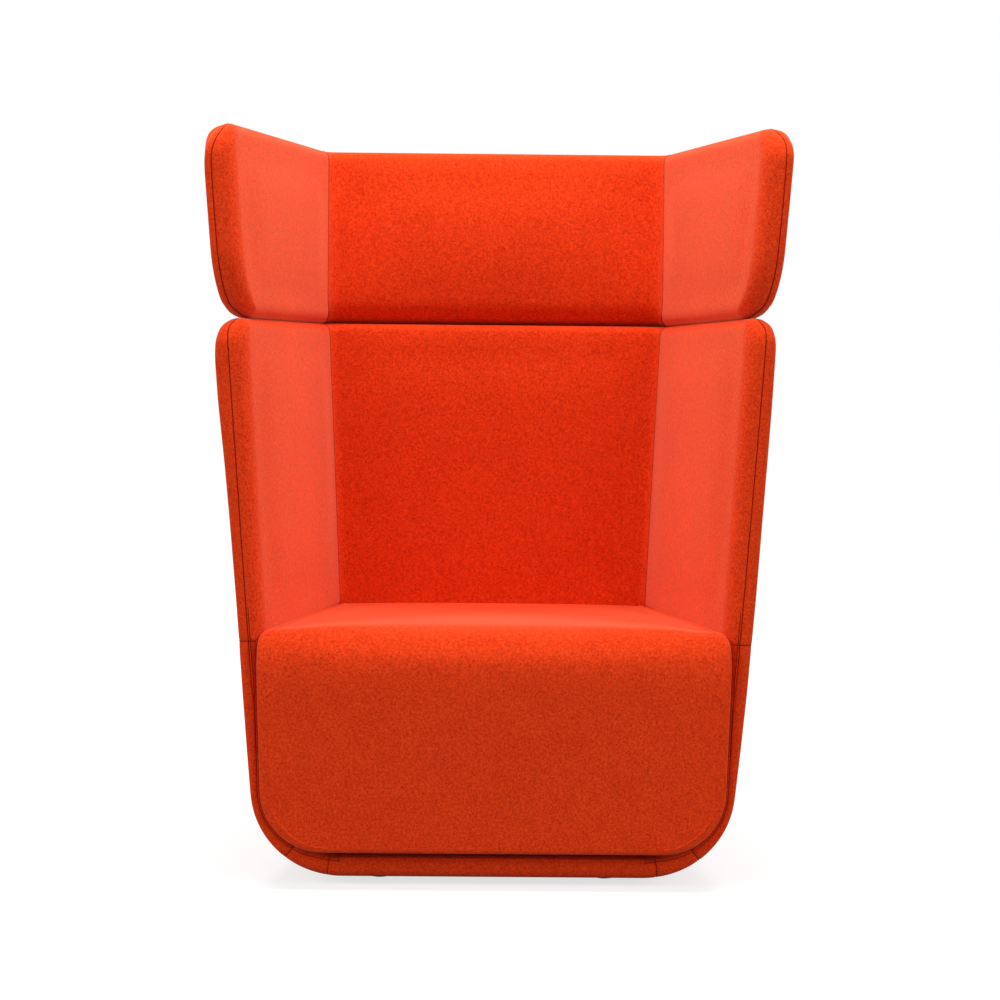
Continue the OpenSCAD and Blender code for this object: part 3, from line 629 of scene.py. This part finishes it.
def wall_section(s):
    """Points round a wall at one station, as (thickness, depth, groove weight)."""
    t, ho, hi, f, b = s["t"], s["outer"], s["inner"], s["front"], s["rear"]
    span = t - ho - hi
    rho = max(LEAST_EDGE, min(EDGE_R, span / 2 - SPARE))
    half = min(SEAM_HALF, span / SEAM_PART)
    seam = max(s["seam"], ho + SEAM_ROOM_OUT * min(span, 2 * rho))
    seam = min(seam, t - hi - SEAM_ROOM_IN * span)
    soft_t = max(LEAST_SOFT, min(span * INNER_SOFT_SHARE, t - hi - seam - half - TINY))
    soft_y = mix(rho, INNER_SOFT_Y, min(1.0, max(0.0, (span - THICK_FROM) / THICK_BY)))
    outer_t = max(SPARE, min(rho, seam - ho - half - TINY))
    edge_y = rho * EDGE_DEPTH_SHARE
    ring = []
    for i in range(ARC_N + 1):
        a = math.pi / 2 * i / ARC_N
        ring.append((ho + outer_t * (1 - math.cos(a)), f + edge_y * (1 - math.sin(a)), 0.0))
    ring += [(seam - half, f, BESIDE_EDGE_SEAM), (seam, f, 1.0), (seam + half, f, BESIDE_EDGE_SEAM)]
    for i in range(SOFT_N + 1):
        a = math.pi / 2 * i / SOFT_N
        ring.append((t - hi - soft_t * (1 - math.sin(a)), f + soft_y * (1 - math.cos(a)), 0.0))
    for i in range(1, FACE_N + 1):
        ring.append((t - hi, mix(f + soft_y, b, i / FACE_N), 0.0))
    hr = s["outer_rear"]
    rear = max(LEAST_REAR, min(REAR_R, t - hr - hi - SPARE))
    for i in range(REAR_N + 1):
        a = math.pi / 2 * i / REAR_N
        ring.append((hr + rear * (1 - math.sin(a)), b - rear * (1 - math.cos(a)), 0.0))
    for i in range(1, FACE_N):
        y = mix(b - rear, f + edge_y, 1 - (1 - i / FACE_N) ** CROWDING)
        ring.append((mix(ho, hr, near_rise(y - f, FADE_FROM, FADE_TO)), y, 0.0))
    return ring


def placed(s, side, t, y):
    """A wall's point in space; the crease between the tiers rises a little towards the front."""
    z = s["z"] + s["nz"] * t
    x = s["x"] + s["nx"] * t - splay_at(z) * (y - SHELL_Y)
    ahead = min(1.0, max(0.0, 1 - (y - SHELL_Y) / (back_in_y(z) - SHELL_Y)))
    near = max(0.0, 1 - abs(z - SPLIT_Z) / CREASE_REACH)
    rise = CREASE_RISE_LEFT if side < 0 else CREASE_RISE_RIGHT
    return (side * x * MM, y * MM, (z + rise * ahead * near) * MM)


def wall_ring(s, side):
    """A wall's points in space at one station, with its seams pulled in."""
    out = []
    for t, y, g in wall_section(s):
        pull = max(g, s["groove"]) * SEAM_DEPTH
        toward = 1.0 if t < s["t"] / 2 else -1.0
        if g > 0.0 and g >= s["groove"]:
            y = y + pull
        elif s["groove"] > 0.0:
            t = t + toward * pull * CROSS_SIDE_SHARE
            if y < s["front"] + CROSS_FRONT:
                y = y + pull
        out.append(placed(s, side, t, y))
    return out


def end_insets(r, n=6):
    """Steps round a rounded end of radius r, each as its distance from the end and its inset."""
    angles = [math.pi / 2 * i / n for i in range(n + 1)]
    return [(r * (1 - math.cos(a)), r * (1 - math.sin(a))) for a in angles]


def spread(a, b, step):
    """Even steps from a to b, each about one step long."""
    n = max(1, int(round(abs(b - a) / step)))
    return [mix(a, b, i / n) for i in range(n + 1)]


def seam_levels(levels, at, half):
    """Levels, each with its groove weight, with three round a seam in place of those close to it."""
    kept = [v for v in levels if abs(v[0] - at) > 3 * half]
    return sorted(kept + [(at - half, BESIDE_SEAM), (at, 1.0), (at + half, BESIDE_SEAM)])


END_STEPS = [0.0, 1.0, 3.0, 6.0, 10.0, 15.0, 21.0, 28.0, 36.0, 46.0]
WING_TOP_STEPS = END_STEPS + [53.0, 60.0, 72.0, 84.0]
WING_LOW_STEPS = [0.0, 0.7, 2.2, 4.5, 7.5, 11.0, 17.0, 24.0, 32.0, 42.0, 54.0, 68.0, 84.0, 100.0, 115.0]
WALL_STEP = 15.0
WING_STEP = 14.0
POCKET_CLEAR = 6.0
LEAN_CLEAR = 8.0
# Stations round a bottom corner, in degrees, the last two close together where the rim joins
ARC_ANGLES = list(range(-5, -90, -4)) + [-89.7, -90.0]


def top_station(top, e, round_r, soft, more, out=0.0):
    """A station e below a wall's rounded top, with its soft outer edge."""
    inset = end_inset(e, EDGE_R, EDGE_R)
    outer_rear = end_inset(e, TOP_SOFT_REAR_T, TOP_SOFT_REAR_Z) + end_inset(e, *more)
    return wall_station(top - e, SHELL_Y + round_y(e, round_r), end_inset(e, *soft) - out, inset,
                        outer_rear - out, inset)


def with_groove(station, weight):
    """The station, marked with how deep it lies in a seam across the wall."""
    station["groove"] = weight
    return station


def body_wall_stations(side):
    """A lower wall's stations, from its top down and round the bottom corner."""
    out = []
    for e in END_STEPS:
        more = stand_out(BODY_TOP - e, side)
        out.append(top_station(BODY_TOP, e, BODY_TOP_R, TOP_SOFT, BODY_TOP_MORE, more))
    above = POCKET_Z + POCKET_RISE
    down = spread(above + POCKET_CLEAR, BODY_TOP - TOP_SOFT[1], WALL_STEP)[:-1] + [above]
    down += spread(LEAN_Z + LEAN_CLEAR, POCKET_Z - POCKET_CLEAR, WALL_STEP)
    for z, g in reversed(seam_levels([(z, 0.0) for z in down], CROSS_SEAM_Z, SEAM_HALF)):
        more = stand_out(z, side)
        out.append(with_groove(wall_station(z, SHELL_Y, -more, 0.0, -more), g))
    arcs = [(a, 0.0) for a in ARC_ANGLES]
    for seam in (CORNER_SEAM_A, RIM_SEAM_A):
        arcs = seam_levels(arcs, seam, math.degrees(SEAM_HALF / CORNER_R))
    out += [with_groove(arc_station(math.radians(a)), g) for a, g in reversed(arcs)]
    return out


def wing_stations(soft, more):
    """A wing's stations, from its top to its lower end."""
    out = [top_station(TOTAL_H, e, HEAD_TOP_R, soft, more) for e in WING_TOP_STEPS]
    for z in reversed(spread(HEAD_LOW + WING_LOW_STEPS[-1], TOTAL_H - WING_TOP_STEPS[-1], WING_STEP)[1:-1]):
        out.append(wall_station(z, SHELL_Y))
    for e in reversed(WING_LOW_STEPS):
        inset = end_inset(e, EDGE_R, EDGE_R)
        out.append(wall_station(HEAD_LOW + e, SHELL_Y + round_y(e, HEAD_LOW_R), end_inset(e, *LOW_SOFT),
                                end_inset(e, *LOW_IN), inset, inset))
    return out


# Meshes from grids of points
def grid_mesh(name, grids, merge=0.0002):
    """One closed mesh from grids of points; a grid marked round joins its last column to its first."""
    bm = bmesh.new()
    for points, is_round in grids:
        rows = [[bm.verts.new(p) for p in row] for row in points]
        for upper, lower in zip(rows, rows[1:]):
            n = len(upper)
            for j in range(n if is_round else n - 1):
                k = (j + 1) % n
                corners = [upper[j], upper[k], lower[k], lower[j]]
                bm.faces.new(corners)
    bmesh.ops.remove_doubles(bm, verts=bm.verts, dist=merge)
    bmesh.ops.dissolve_degenerate(bm, edges=bm.edges, dist=merge / 4)
    bmesh.ops.recalc_face_normals(bm, faces=bm.faces)
    mesh = bpy.data.meshes.new(name)
    bm.to_mesh(mesh)
    bm.free()
    for face in mesh.polygons:
        face.use_smooth = True
    obj = bpy.data.objects.new(name, mesh)
    bpy.context.scene.collection.objects.link(obj)
    return obj


CAP_REACH = 60.0


def cap_grid(ring, section, steps=3):
    """Rings from a wall's flat end in to its middle line, so that the end is filled with quads."""
    pts = np.array(ring)
    mid = pts.copy()
    n = len(pts)
    ts = np.array([v[0] for v in section])
    ys = np.array([v[1] for v in section])
    t_mid = (ts.min() + ts.max()) / 2
    order = np.argsort(ys)
    for i in range(n):
        near = [j for j in order if abs(ys[j] - ys[i]) < CAP_REACH]
        low = [j for j in near if ts[j] <= t_mid]
        high = [j for j in near if ts[j] > t_mid]
        if not low or not high:
            continue
        a = min(low, key=lambda j: abs(ys[j] - ys[i]))
        b = min(high, key=lambda j: abs(ys[j] - ys[i]))
        mid[i] = (pts[a] + pts[b]) / 2
    return [[tuple(mix(pts[i], mid[i], k / steps)) for i in range(n)] for k in range(steps + 1)]


def finish_piece(obj, body, look):
    """Gives a piece its material, body and slot."""
    obj.data.materials.append(look)
    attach(obj, body)


LEAST_M = 1e-9


def swell(obj, movable, cap, pressure=4.0, frames=20):
    """Lets the padding swell as cloth under pressure, then keeps each point within its cap."""
    mesh = obj.data
    before = np.empty(len(mesh.vertices) * 3)
    mesh.vertices.foreach_get("co", before)
    before = before.reshape(-1, 3)
    weight = np.array([movable(p) for p in before])
    pins = obj.vertex_groups.new(name="held")
    for i, w in enumerate(weight):
        pins.add([i], 1.0 - float(w), "REPLACE")
    cloth = obj.modifiers.new("swell", "CLOTH")
    cloth.settings.effector_weights.gravity = 0.0
    cloth.settings.use_pressure = True
    cloth.settings.uniform_pressure_force = pressure
    cloth.settings.vertex_group_mass = "held"
    cloth.settings.quality = 4
    cloth.settings.mass = 0.4
    cloth.settings.tension_stiffness = 25.0
    cloth.settings.compression_stiffness = 25.0
    cloth.settings.bending_stiffness = 2.0
    cloth.point_cache.frame_start = 1
    cloth.point_cache.frame_end = frames
    for f in range(1, frames + 1):
        bpy.context.scene.frame_set(f)
    graph = bpy.context.evaluated_depsgraph_get()
    result = obj.evaluated_get(graph).to_mesh()
    after = np.empty(len(result.vertices) * 3)
    result.vertices.foreach_get("co", after)
    after = after.reshape(-1, 3)
    obj.evaluated_get(graph).to_mesh_clear()
    obj.modifiers.remove(cloth)
    obj.vertex_groups.remove(pins)
    bpy.context.scene.frame_set(1)
    moved = after - before
    far = np.linalg.norm(moved, axis=1)
    limit = cap * MM * weight
    share = np.tanh(far / np.maximum(limit, LEAST_M)) * limit / np.maximum(far, LEAST_M)
    share = np.where(far > LEAST_M, share, 0.0)
    mesh.vertices.foreach_set("co", (before + moved * share[:, None]).reshape(-1))
    mesh.update()


def smooth_out(obj, levels=1):
    mod = obj.modifiers.new("smooth", "SUBSURF")
    mod.levels = levels
    mod.render_levels = levels


# Where the padding starts to swell and where it is free, measured from its seams and ends
WALL_FRONT_HOLD = (10.0, 150.0)
WALL_REAR_HOLD = (0.0, 90.0)
WALL_END_HOLD = (12.0, 110.0)
WALL_REAR_IN = 6.0
BACK_SIDE_HOLD = (4.0, 90.0)
BACK_END_HOLD = (20.0, 120.0)
SEAT_SIDE_HOLD = (14.0, 110.0)
SEAT_END_HOLD = (20.0, 120.0)
FRONT_SKIN = 20.0
SEAT_SKIN = 6.0
# Share of the swell on the faces that nobody sits against, and on the seat's front
REAR_SHARE = 0.35
SEAT_FRONT_SHARE = 0.6


def wall_weight(low, high):
    """How freely a wall's padding swells at a point: held along its seams and ends."""
    def at(p):
        x, y, z = abs(p[0]) / MM, p[1] / MM, p[2] / MM
        if z < LEAN_Z:
            return 0.0
        depth = near_rise(y - SHELL_Y, *WALL_FRONT_HOLD)
        depth = depth * near_rise(back_in_y(z) - WALL_REAR_IN - y, *WALL_REAR_HOLD)
        height = near_rise(z - low, *WALL_END_HOLD) * near_rise(high - z, *WALL_END_HOLD)
        t = outer_x(z) - splay_at(z) * (y - SHELL_Y) - x
        inside = 1.0 if t > wall_t(z) / 2 else REAR_SHARE
        return depth * height * inside
    return at


def tube(name, paths, radius, sides=6):
    """Thread along each path."""
    bm = bmesh.new()
    for path in paths:
        pts = [Vector(p) for p in path]
        rings = []
        for i, p in enumerate(pts):
            along = (pts[min(i + 1, len(pts) - 1)] - pts[max(i - 1, 0)]).normalized()
            if i == 0:
                across = along.orthogonal().normalized()
            else:
                across = (across - across.dot(along) * along).normalized()
            up = along.cross(across)
            rings.append([bm.verts.new(p + radius * (math.cos(k) * across + math.sin(k) * up))
                          for k in [2 * math.pi * j / sides for j in range(sides)]])
        for u, v in zip(rings, rings[1:]):
            for j in range(sides):
                bm.faces.new([u[j], u[(j + 1) % sides], v[(j + 1) % sides], v[j]])
        bm.faces.new(rings[0])
        bm.faces.new(rings[-1])
    bmesh.ops.recalc_face_normals(bm, faces=bm.faces)
    mesh = bpy.data.meshes.new(name)
    bm.to_mesh(mesh)
    bm.free()
    for face in mesh.polygons:
        face.use_smooth = True
    obj = bpy.data.objects.new(name, mesh)
    bpy.context.scene.collection.objects.link(obj)
    finish_piece(obj, "chair", groove_shaded_thread)


def edge_path(stations, side, step=0.0):
    """The edge seam, or a line beside it, over the given stations."""
    out = []
    for s in stations:
        moved = dict(s, seam=s["seam"] + step, groove=0.0)
        t, y, g = wall_section(moved)[SEAM_INDEX]
        sink = TWIN_SINK if step else SEAM_DEPTH * THREAD_SINK
        out.append(placed(s, side, t, y + sink))
    return out


def cross_path(s, side):
    """Round the front edge at one station, along a seam across it."""
    return wall_ring(dict(s, groove=CROSS_SINK), side)[:CROSS_POINTS]


# Side walls and wings
def make_wall(name, side, stations, nodes, low, high):
    """A wall or wing from its stations, with both ends closed."""
    rings = [wall_ring(s, side) for s in stations]
    ends = [cap_grid(rings[i], wall_section(stations[i])) for i in (0, -1)]
    obj = grid_mesh(name, [(rings, True), (ends[0], True), (ends[1], True)])
    swell(obj, wall_weight(low, high), SWELL)
    smooth_out(obj)
    finish_piece(obj, "chair", wool)
    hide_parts(*nodes)


SIDES = ((-1, "left", LEFT_SOFT, LEFT_TOP_MORE), (1, "right", TOP_SOFT, RIGHT_TOP_MORE))
for side, word, soft, more in SIDES:
    body_stations = body_wall_stations(side)
    head_stations = wing_stations(soft, more)
    make_wall("lower_wall_" + word, side, body_stations,
              ["wall_" + word + "_cover", "wall_" + word + "_foam"], POCKET_Z + POCKET_RISE, BODY_TOP)
    make_wall("head_wing_" + word, side, head_stations,
              ["head_" + word + "_cover", "head_" + word + "_foam"], HEAD_LOW, TOTAL_H)
    seamed = [s for s in body_stations if s["groove"] == 0.0]
    paths = [edge_path(seamed, side), edge_path(head_stations, side)]
    twin = [s for s in seamed if TWIN_SEAM_Z[0] < s["z"] < TWIN_SEAM_Z[1]]
    paths.append(edge_path(twin, side, TWIN_SEAM_STEP))
    paths += [cross_path(s, side) for s in body_stations if s["groove"] == 1.0]
    tube("seam_threads_" + word, paths, THREAD_R * MM)


# Back panels
def back_half(z, y):
    """Half the width of a back at a height and a depth."""
    return inner_x(z) - splay_at(z) * (y - SHELL_Y) - SIDE_FIT


BACK_NEAR = [0.0, 0.8, 2.4, 5.0, 8.5, 13.0, 19.0, 27.0]
BACK_MID = 36
BACK_CROWN = 2.0
CROWN_POWER = 6
ROLL_N = 10
SIDE_SHARES = (0.04, 0.5)
CAP_SHARES = (0.0, 0.33, 0.67, 1.0)


def back_shares():
    """Columns across a back panel, close together at its sewn sides."""
    near = [1.0 - e / CORNER_HALF for e in BACK_NEAR]
    right = near + [near[-1] * (1.0 - 2.0 * i / BACK_MID) for i in range(1, BACK_MID // 2)]
    return [-v for v in right] + [0.0] + right[::-1]


BACK_SHARES = back_shares()
BACK_COLS = len(BACK_SHARES) - 1


def fillet_at(d, r):
    """How far a fillet of radius r stands out, d from the corner."""
    if d >= r:
        return 0.0
    return r - math.sqrt(max(0.0, r * r - (r - d) ** 2))


def back_ring(z, h, h_rear, crown, fillet, wider=0.0):
    """A closed ring: front face from left to right, then the rear face from right to left."""
    def half_at(y):
        return back_half(z, y) + wider
    fy = back_in_y(z) + h
    by = back_out_y(z) - h_rear
    ring = []
    for u in BACK_SHARES:
        y = fy - fillet_at((1 - abs(u)) * CORNER_HALF, fillet) - crown * (1 - u ** CROWN_POWER)
        ring.append((u * half_at(y) * MM, y * MM, z * MM))
    for v in SIDE_SHARES:
        y = mix(fy, by, v)
        ring.append((half_at(y) * MM, y * MM, z * MM))
    for u in BACK_SHARES[::-1]:
        ring.append((u * half_at(by) * MM, by * MM, z * MM))
    for v in SIDE_SHARES[::-1]:
        y = mix(fy, by, v)
        ring.append((-half_at(y) * MM, y * MM, z * MM))
    return ring


def back_cap(ring):
    """Rows that close a back panel's end, from its front edge to its rear one."""
    front = ring[:BACK_COLS + 1]
    rear = ring[BACK_COLS + 3:2 * BACK_COLS + 4][::-1]
    rows = []
    for v in CAP_SHARES:
        rows.append([tuple(mix(np.array(a), np.array(b), v)) for a, b in zip(front, rear)])
    return rows


def back_weight(low, high):
    """How freely a back's padding swells at a point: held along its sides and ends."""
    def at(p):
        x, y, z = abs(p[0]) / MM, p[1] / MM, p[2] / MM
        half = back_half(z, back_in_y(z))
        sides = near_rise(half - x, *BACK_SIDE_HOLD)
        height = near_rise(z - low, *BACK_END_HOLD) * near_rise(high - z, *BACK_END_HOLD)
        inside = 1.0 if y < back_in_y(z) + FRONT_SKIN else REAR_SHARE
        return sides * height * inside
    return at


def make_back(name, low, high, roll_in, roll, fillet, nodes):
    """A back panel from its lower roll to its upper edge, with the seams down its sides."""
    levels = []
    for i in range(ROLL_N + 1):
        e = roll * (1 - math.cos(math.pi / 2 * i / ROLL_N))
        wider = end_inset(e, *LOW_IN) if low > SEAT_H else 0.0
        levels.append((low + e, end_inset(e, roll_in, roll), end_inset(e, EDGE_R, EDGE_R), 0.0, wider))
    for z in spread(low + roll, high - EDGE_R, WALL_STEP)[1:-1]:
        levels.append((z, 0.0, 0.0, BACK_CROWN, 0.0))
    for e, h in reversed(end_insets(EDGE_R)):
        levels.append((high - e, h, h, 0.0, h))
    rings = [back_ring(z, h, h_rear, crown, fillet, wider) for z, h, h_rear, crown, wider in levels]
    obj = grid_mesh(name, [(rings, True), (back_cap(rings[0]), False), (back_cap(rings[-1]), False)])
    swell(obj, back_weight(low, high), BACK_SWELL)
    smooth_out(obj)
    finish_piece(obj, "chair", wool)
    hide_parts(*nodes)
    for side, word in ((-1, "left"), (1, "right")):
        front, rear = [], []
        for z, h, h_rear, crown, wider in levels:
            for path, y in ((front, back_in_y(z) + h - fillet), (rear, back_out_y(z) - h_rear)):
                path.append((side * (back_half(z, y) + wider + SIDE_FIT) * MM, y * MM, z * MM))
        tube(name + "_seam_" + word, [front, rear], THREAD_R * MM)


make_back("lower_back", BACK_LOW, BODY_TOP, EDGE_R, EDGE_R, BACK_FILLET, ["back_cover", "back_foam"])
make_back("head_back", HEAD_LOW, TOTAL_H, LOW_ROLL_IN, LOW_ROLL, HEAD_FILLET,
          ["head_back_cover", "head_back_foam"])


# The seat block
def seat_shift(y):
    """How far the seat's side has closed in at a depth."""
    return SPLAY * (max(y, SHELL_Y) - SHELL_Y)


SEAT_BACK_Y = back_in_y(SEAT_H) - SEAT_GAP


def lean_back(x, y, z):
    """A point of the seat in metres, reclined more towards the rear."""
    u = (y - FRONT_Y) / (SEAT_BACK_Y - FRONT_Y)
    return (x * MM, (y - u * RECLINE * (SEAT_H - z)) * MM, z * MM)


SIDE_ROWS = 46
TOP_COLS = 64
EDGE_ROWS = 6
ARC_SHARE = 2 / 5
# The seat's top edge is rounder in front: radius there and behind, and where it changes
TOP_EDGE_R = (18.0, 13.0)
TOP_EDGE_FROM = 40.0
TOP_EDGE_TO = 260.0
SEAT_CROWN_POWER = 2.6
# The sewn ridge along the seat's sides and the channel beside it: place, height and half-width
RIDGE_AT = 6.0
RIDGE_UP = 1.8
RIDGE_HALF = 1.7
CHANNEL_AT = 10.5
CHANNEL_DOWN = 0.9
CHANNEL_HALF = 1.6
# Where the outline is drawn in by this much, the top has no ridge
RIDGE_DRAW = 3.0
# Columns near the sewn edge, and rows over the waterfall and the top
NEAR_EDGE = [0.0, 2.5, 4.4, RIDGE_AT, 7.6, 9.4, 12.0, 18.0, 30.0]
FALL_STEP = 4.0
TOP_STEP = 14.0
REAR_DRAW = (2.5, 8.0)


def seat_top(y):
    """The height of the seat's top at a depth, with the waterfall at the front."""
    e = y - FRONT_Y
    top = SEAT_H + mix(SEAT_RISE_FRONT, SEAT_RISE_REAR, e / (SEAT_BACK_Y - FRONT_Y))
    return top - end_inset(e, WATERFALL_Z, WATERFALL_Y)


def seat_edge(y, d):
    """Right-hand outline of the seat at a depth, from its bottom to its top, drawn in by d."""
    w = seat_shift(y)
    pts = []
    cz = SEAT_CZ + SEAT_LIFT
    r = SEAT_CORNER_R - d
    arc_rows = int(SIDE_ROWS * ARC_SHARE)
    for i in range(arc_rows + 1):
        a = -math.pi / 2 + math.pi / 2 * i / arc_rows
        pts.append((SEAT_CX - w + r * math.cos(a), cz + r * math.sin(a)))
    top = seat_top(y) - SEAT_CROWN - d
    rt = mix(*TOP_EDGE_R, near_rise(y, FRONT_Y + TOP_EDGE_FROM, FRONT_Y + TOP_EDGE_TO))
    rows = SIDE_ROWS - arc_rows - EDGE_ROWS
    for i in range(1, rows + 1):
        u = i / rows
        z = mix(cz, top - rt, u)
        x = mix(SEAT_LOW_HALF, SEAT_HALF, u) - w - d
        pts.append((x, z))
    for i in range(1, EDGE_ROWS + 1):
        a = math.pi / 2 * i / EDGE_ROWS
        pts.append((SEAT_HALF - w - d - rt + rt * math.cos(a), top - rt + rt * math.sin(a)))
    return pts


def column_shares(half):
    """Columns across the seat, close together at the sewn edges."""
    near = [1.0 - e / half for e in NEAR_EDGE]
    left = TOP_COLS // 2 - len(NEAR_EDGE)
    inner = [near[-1] * (1.0 - i / left) for i in range(1, left + 1)]
    right = near + inner[:-1] + [0.0]
    return [-v for v in right[:-1]] + right[::-1]


def ridge(u, half):
    """Height of the sewn ridge at a column."""
    d = (1.0 - abs(u)) * half
    raised = RIDGE_UP * math.exp(-((d - RIDGE_AT) / RIDGE_HALF) ** 2)
    return raised - CHANNEL_DOWN * math.exp(-((d - CHANNEL_AT) / CHANNEL_HALF) ** 2)


def seat_grids():
    """Grids of the seat's right and left sides, top and underside, with the outlines they share."""
    rounds = end_insets(SEAT_EDGE_R)
    levels = [FRONT_Y + e for e, d in rounds]
    draw = [d for e, d in rounds]
    bend = FRONT_Y + WATERFALL_Y
    more = spread(levels[-1], bend, FALL_STEP)[1:] + spread(bend, SEAT_BACK_Y - REAR_DRAW[1], TOP_STEP)[1:]
    levels += more + [SEAT_BACK_Y - REAR_DRAW[0], SEAT_BACK_Y]
    draw += [0.0] * len(more) + list(REAR_DRAW)
    rims = [seat_edge(y, d) for y, d in zip(levels, draw)]
    shares = column_shares(SEAT_HALF)
    right = [[lean_back(x, y, z) for x, z in rim] for y, rim in zip(levels, rims)]
    left = [[lean_back(-x, y, z) for x, z in rim] for y, rim in zip(levels, rims)]
    top = []
    under = []
    for y, d, rim in zip(levels, draw, rims):
        x1, z1 = rim[-1]
        row = []
        for u in shares:
            lift = SEAT_CROWN * (1 - abs(u) ** SEAT_CROWN_POWER)
            if d < RIDGE_DRAW:
                lift = lift + ridge(u, SEAT_HALF)
            row.append(lean_back(u * x1, y, z1 + lift))
        top.append(row)
        x0, z0 = rim[0]
        under.append([lean_back(u * x0, y, z0) for u in shares])
    return levels, rims, shares, right, left, top, under


FOLLOW_FROM = 0.85


def seat_face(rim, y, shares, top_row, under_row, with_ridge):
    """The front or rear face between the left and right outlines; its upper rows follow the top's edge."""
    rows = []
    n = len(rim)
    for j, (x, z) in enumerate(rim):
        v = j / (n - 1)
        row = []
        for i, u in enumerate(shares):
            if j == 0:
                row.append(under_row[i])
                continue
            if j == n - 1:
                row.append(top_row[i])
                continue
            step = ridge(u, x) if with_ridge else 0.0
            at_z = z
            if v >= FOLLOW_FROM:
                follow = top_row[i][2] / MM - (rim[-1][1] - z)
                at_z = mix(z, follow, (v - FOLLOW_FROM) / (1 - FOLLOW_FROM))
            row.append(lean_back(u * x, y - step, at_z))
        rows.append(row)
    return rows


def seat_weight(p):
    """How freely the seat swells at a point: its front face and its top, held along the edges."""
    x, y, z = abs(p[0]) / MM, p[1] / MM, p[2] / MM
    half = SEAT_HALF - seat_shift(y)
    sides = near_rise(half - x, *SEAT_SIDE_HOLD)
    if y < FRONT_Y + SEAT_SKIN:
        return sides * near_rise(z - SEAT_LOW, *SEAT_END_HOLD) * SEAT_FRONT_SHARE
    if z > SEAT_H - WATERFALL_Z / 2:
        return sides * near_rise(SEAT_BACK_Y - y, *SEAT_END_HOLD)
    return 0.0


def make_seat():
    """The seat block as one closed mesh."""
    levels, rims, shares, right, left, top, under = seat_grids()
    front = seat_face(rims[0], levels[0], shares, top[0], under[0], True)
    rear = seat_face(rims[-1], levels[-1], shares, top[-1], under[-1], False)
    grids = [(right, False), (left, False), (top, False), (under, False), (front, False), (rear, False)]
    obj = grid_mesh("seat_pad", grids)
    swell(obj, seat_weight, SWELL)
    smooth_out(obj)
    finish_piece(obj, "chair", wool)
    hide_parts("seat_cover", "seat_foam")


make_seat()


# The rims under the seat and the back
RIM_SEAM_IN = 5.0
RIM_TOP_T = 3.4
RIM_TOP_D = 4.0
RIM_END_IN = (0.8, 2.6)
RIM_COLS = 18
RIM_ARC_N = 4
RIM_SEAM_INDEX = ARC_N + 3
# Depth of a rim's lower roundover in front, as a share of its height
RIM_DEPTH_SHARE = 0.8


def rim_ring(u, face_y, toward, round_t, round_d):
    """Points round a rim at a share of its half-length."""
    ring = []
    for t, y, g in rim_section(round_t, round_d):
        at_y = face_y + toward * (y + g * SEAM_DEPTH)
        half = CORNER_X - SPLAY * (at_y - SHELL_Y) + JOIN_OVER
        ring.append((u * half * MM, at_y * MM, (RIM_Z + t) * MM))
    return ring


def rim_section(round_t, round_d):
    """Points round a rim, as (height, depth, groove weight)."""
    seam = BASE_T - RIM_SEAM_IN
    low = min(round_t, seam - 3 * SEAM_HALF)
    ring = []
    for i in range(ARC_N + 1):
        a = math.pi / 2 * i / ARC_N
        ring.append((low * (1 - math.cos(a)), round_d * (1 - math.sin(a)), 0.0))
    ring += [(mix(low, seam, 0.5), 0.0, 0.0), (seam - SEAM_HALF, 0.0, BESIDE_EDGE_SEAM), (seam, 0.0, 1.0)]
    for i in range(RIM_ARC_N + 1):
        a = math.pi / 2 * i / RIM_ARC_N
        ring.append((BASE_T - RIM_TOP_T * (1 - math.sin(a)), RIM_TOP_D * (1 - math.cos(a)), 0.0))
    deep = TRAY_DEPTH - SOFT_GAP
    ring += [(BASE_T, mix(RIM_TOP_D, deep, 0.5), 0.0), (BASE_T, deep, 0.0), (BASE_T * 0.5, deep, 0.0)]
    ring.append((0.0, deep, 0.0))
    ring.append((0.0, mix(round_d, deep, 0.5), 0.0))
    return ring


def make_rim(name, face_y, toward, round_t, round_d, nodes):
    """A rim between the bottom corners, with its ends closed and its seam."""
    near = [1.0] + [1.0 - e / CORNER_X for e in RIM_END_IN]
    shares = [-v for v in near] + [i / RIM_COLS - 1.0 for i in range(1, 2 * RIM_COLS)] + near[::-1]
    rings = [rim_ring(u, face_y, toward, round_t, round_d) for u in shares]
    ends = []
    for ring in (rings[0], rings[-1]):
        centre = np.mean(np.array(ring), axis=0)
        ends.append([[tuple(mix(np.array(p), centre, k)) for p in ring] for k in (0.0, 0.5, 1.0)])
    obj = grid_mesh(name, [(rings, True), (ends[0], True), (ends[1], True)])
    smooth_out(obj)
    finish_piece(obj, "chair", wool)
    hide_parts(*nodes)
    tube(name + "_threads", [[ring[RIM_SEAM_INDEX] for ring in rings]], THREAD_R * MM)


make_rim("front_rim", SHELL_Y, 1.0, EDGE_R, EDGE_R * RIM_DEPTH_SHARE, ["rim_cover", "rim_foam"])
make_rim("rear_rim", back_out_y(RIM_Z), -1.0, REAR_R, REAR_R, ["rear_rim_cover", "rear_rim_foam"])
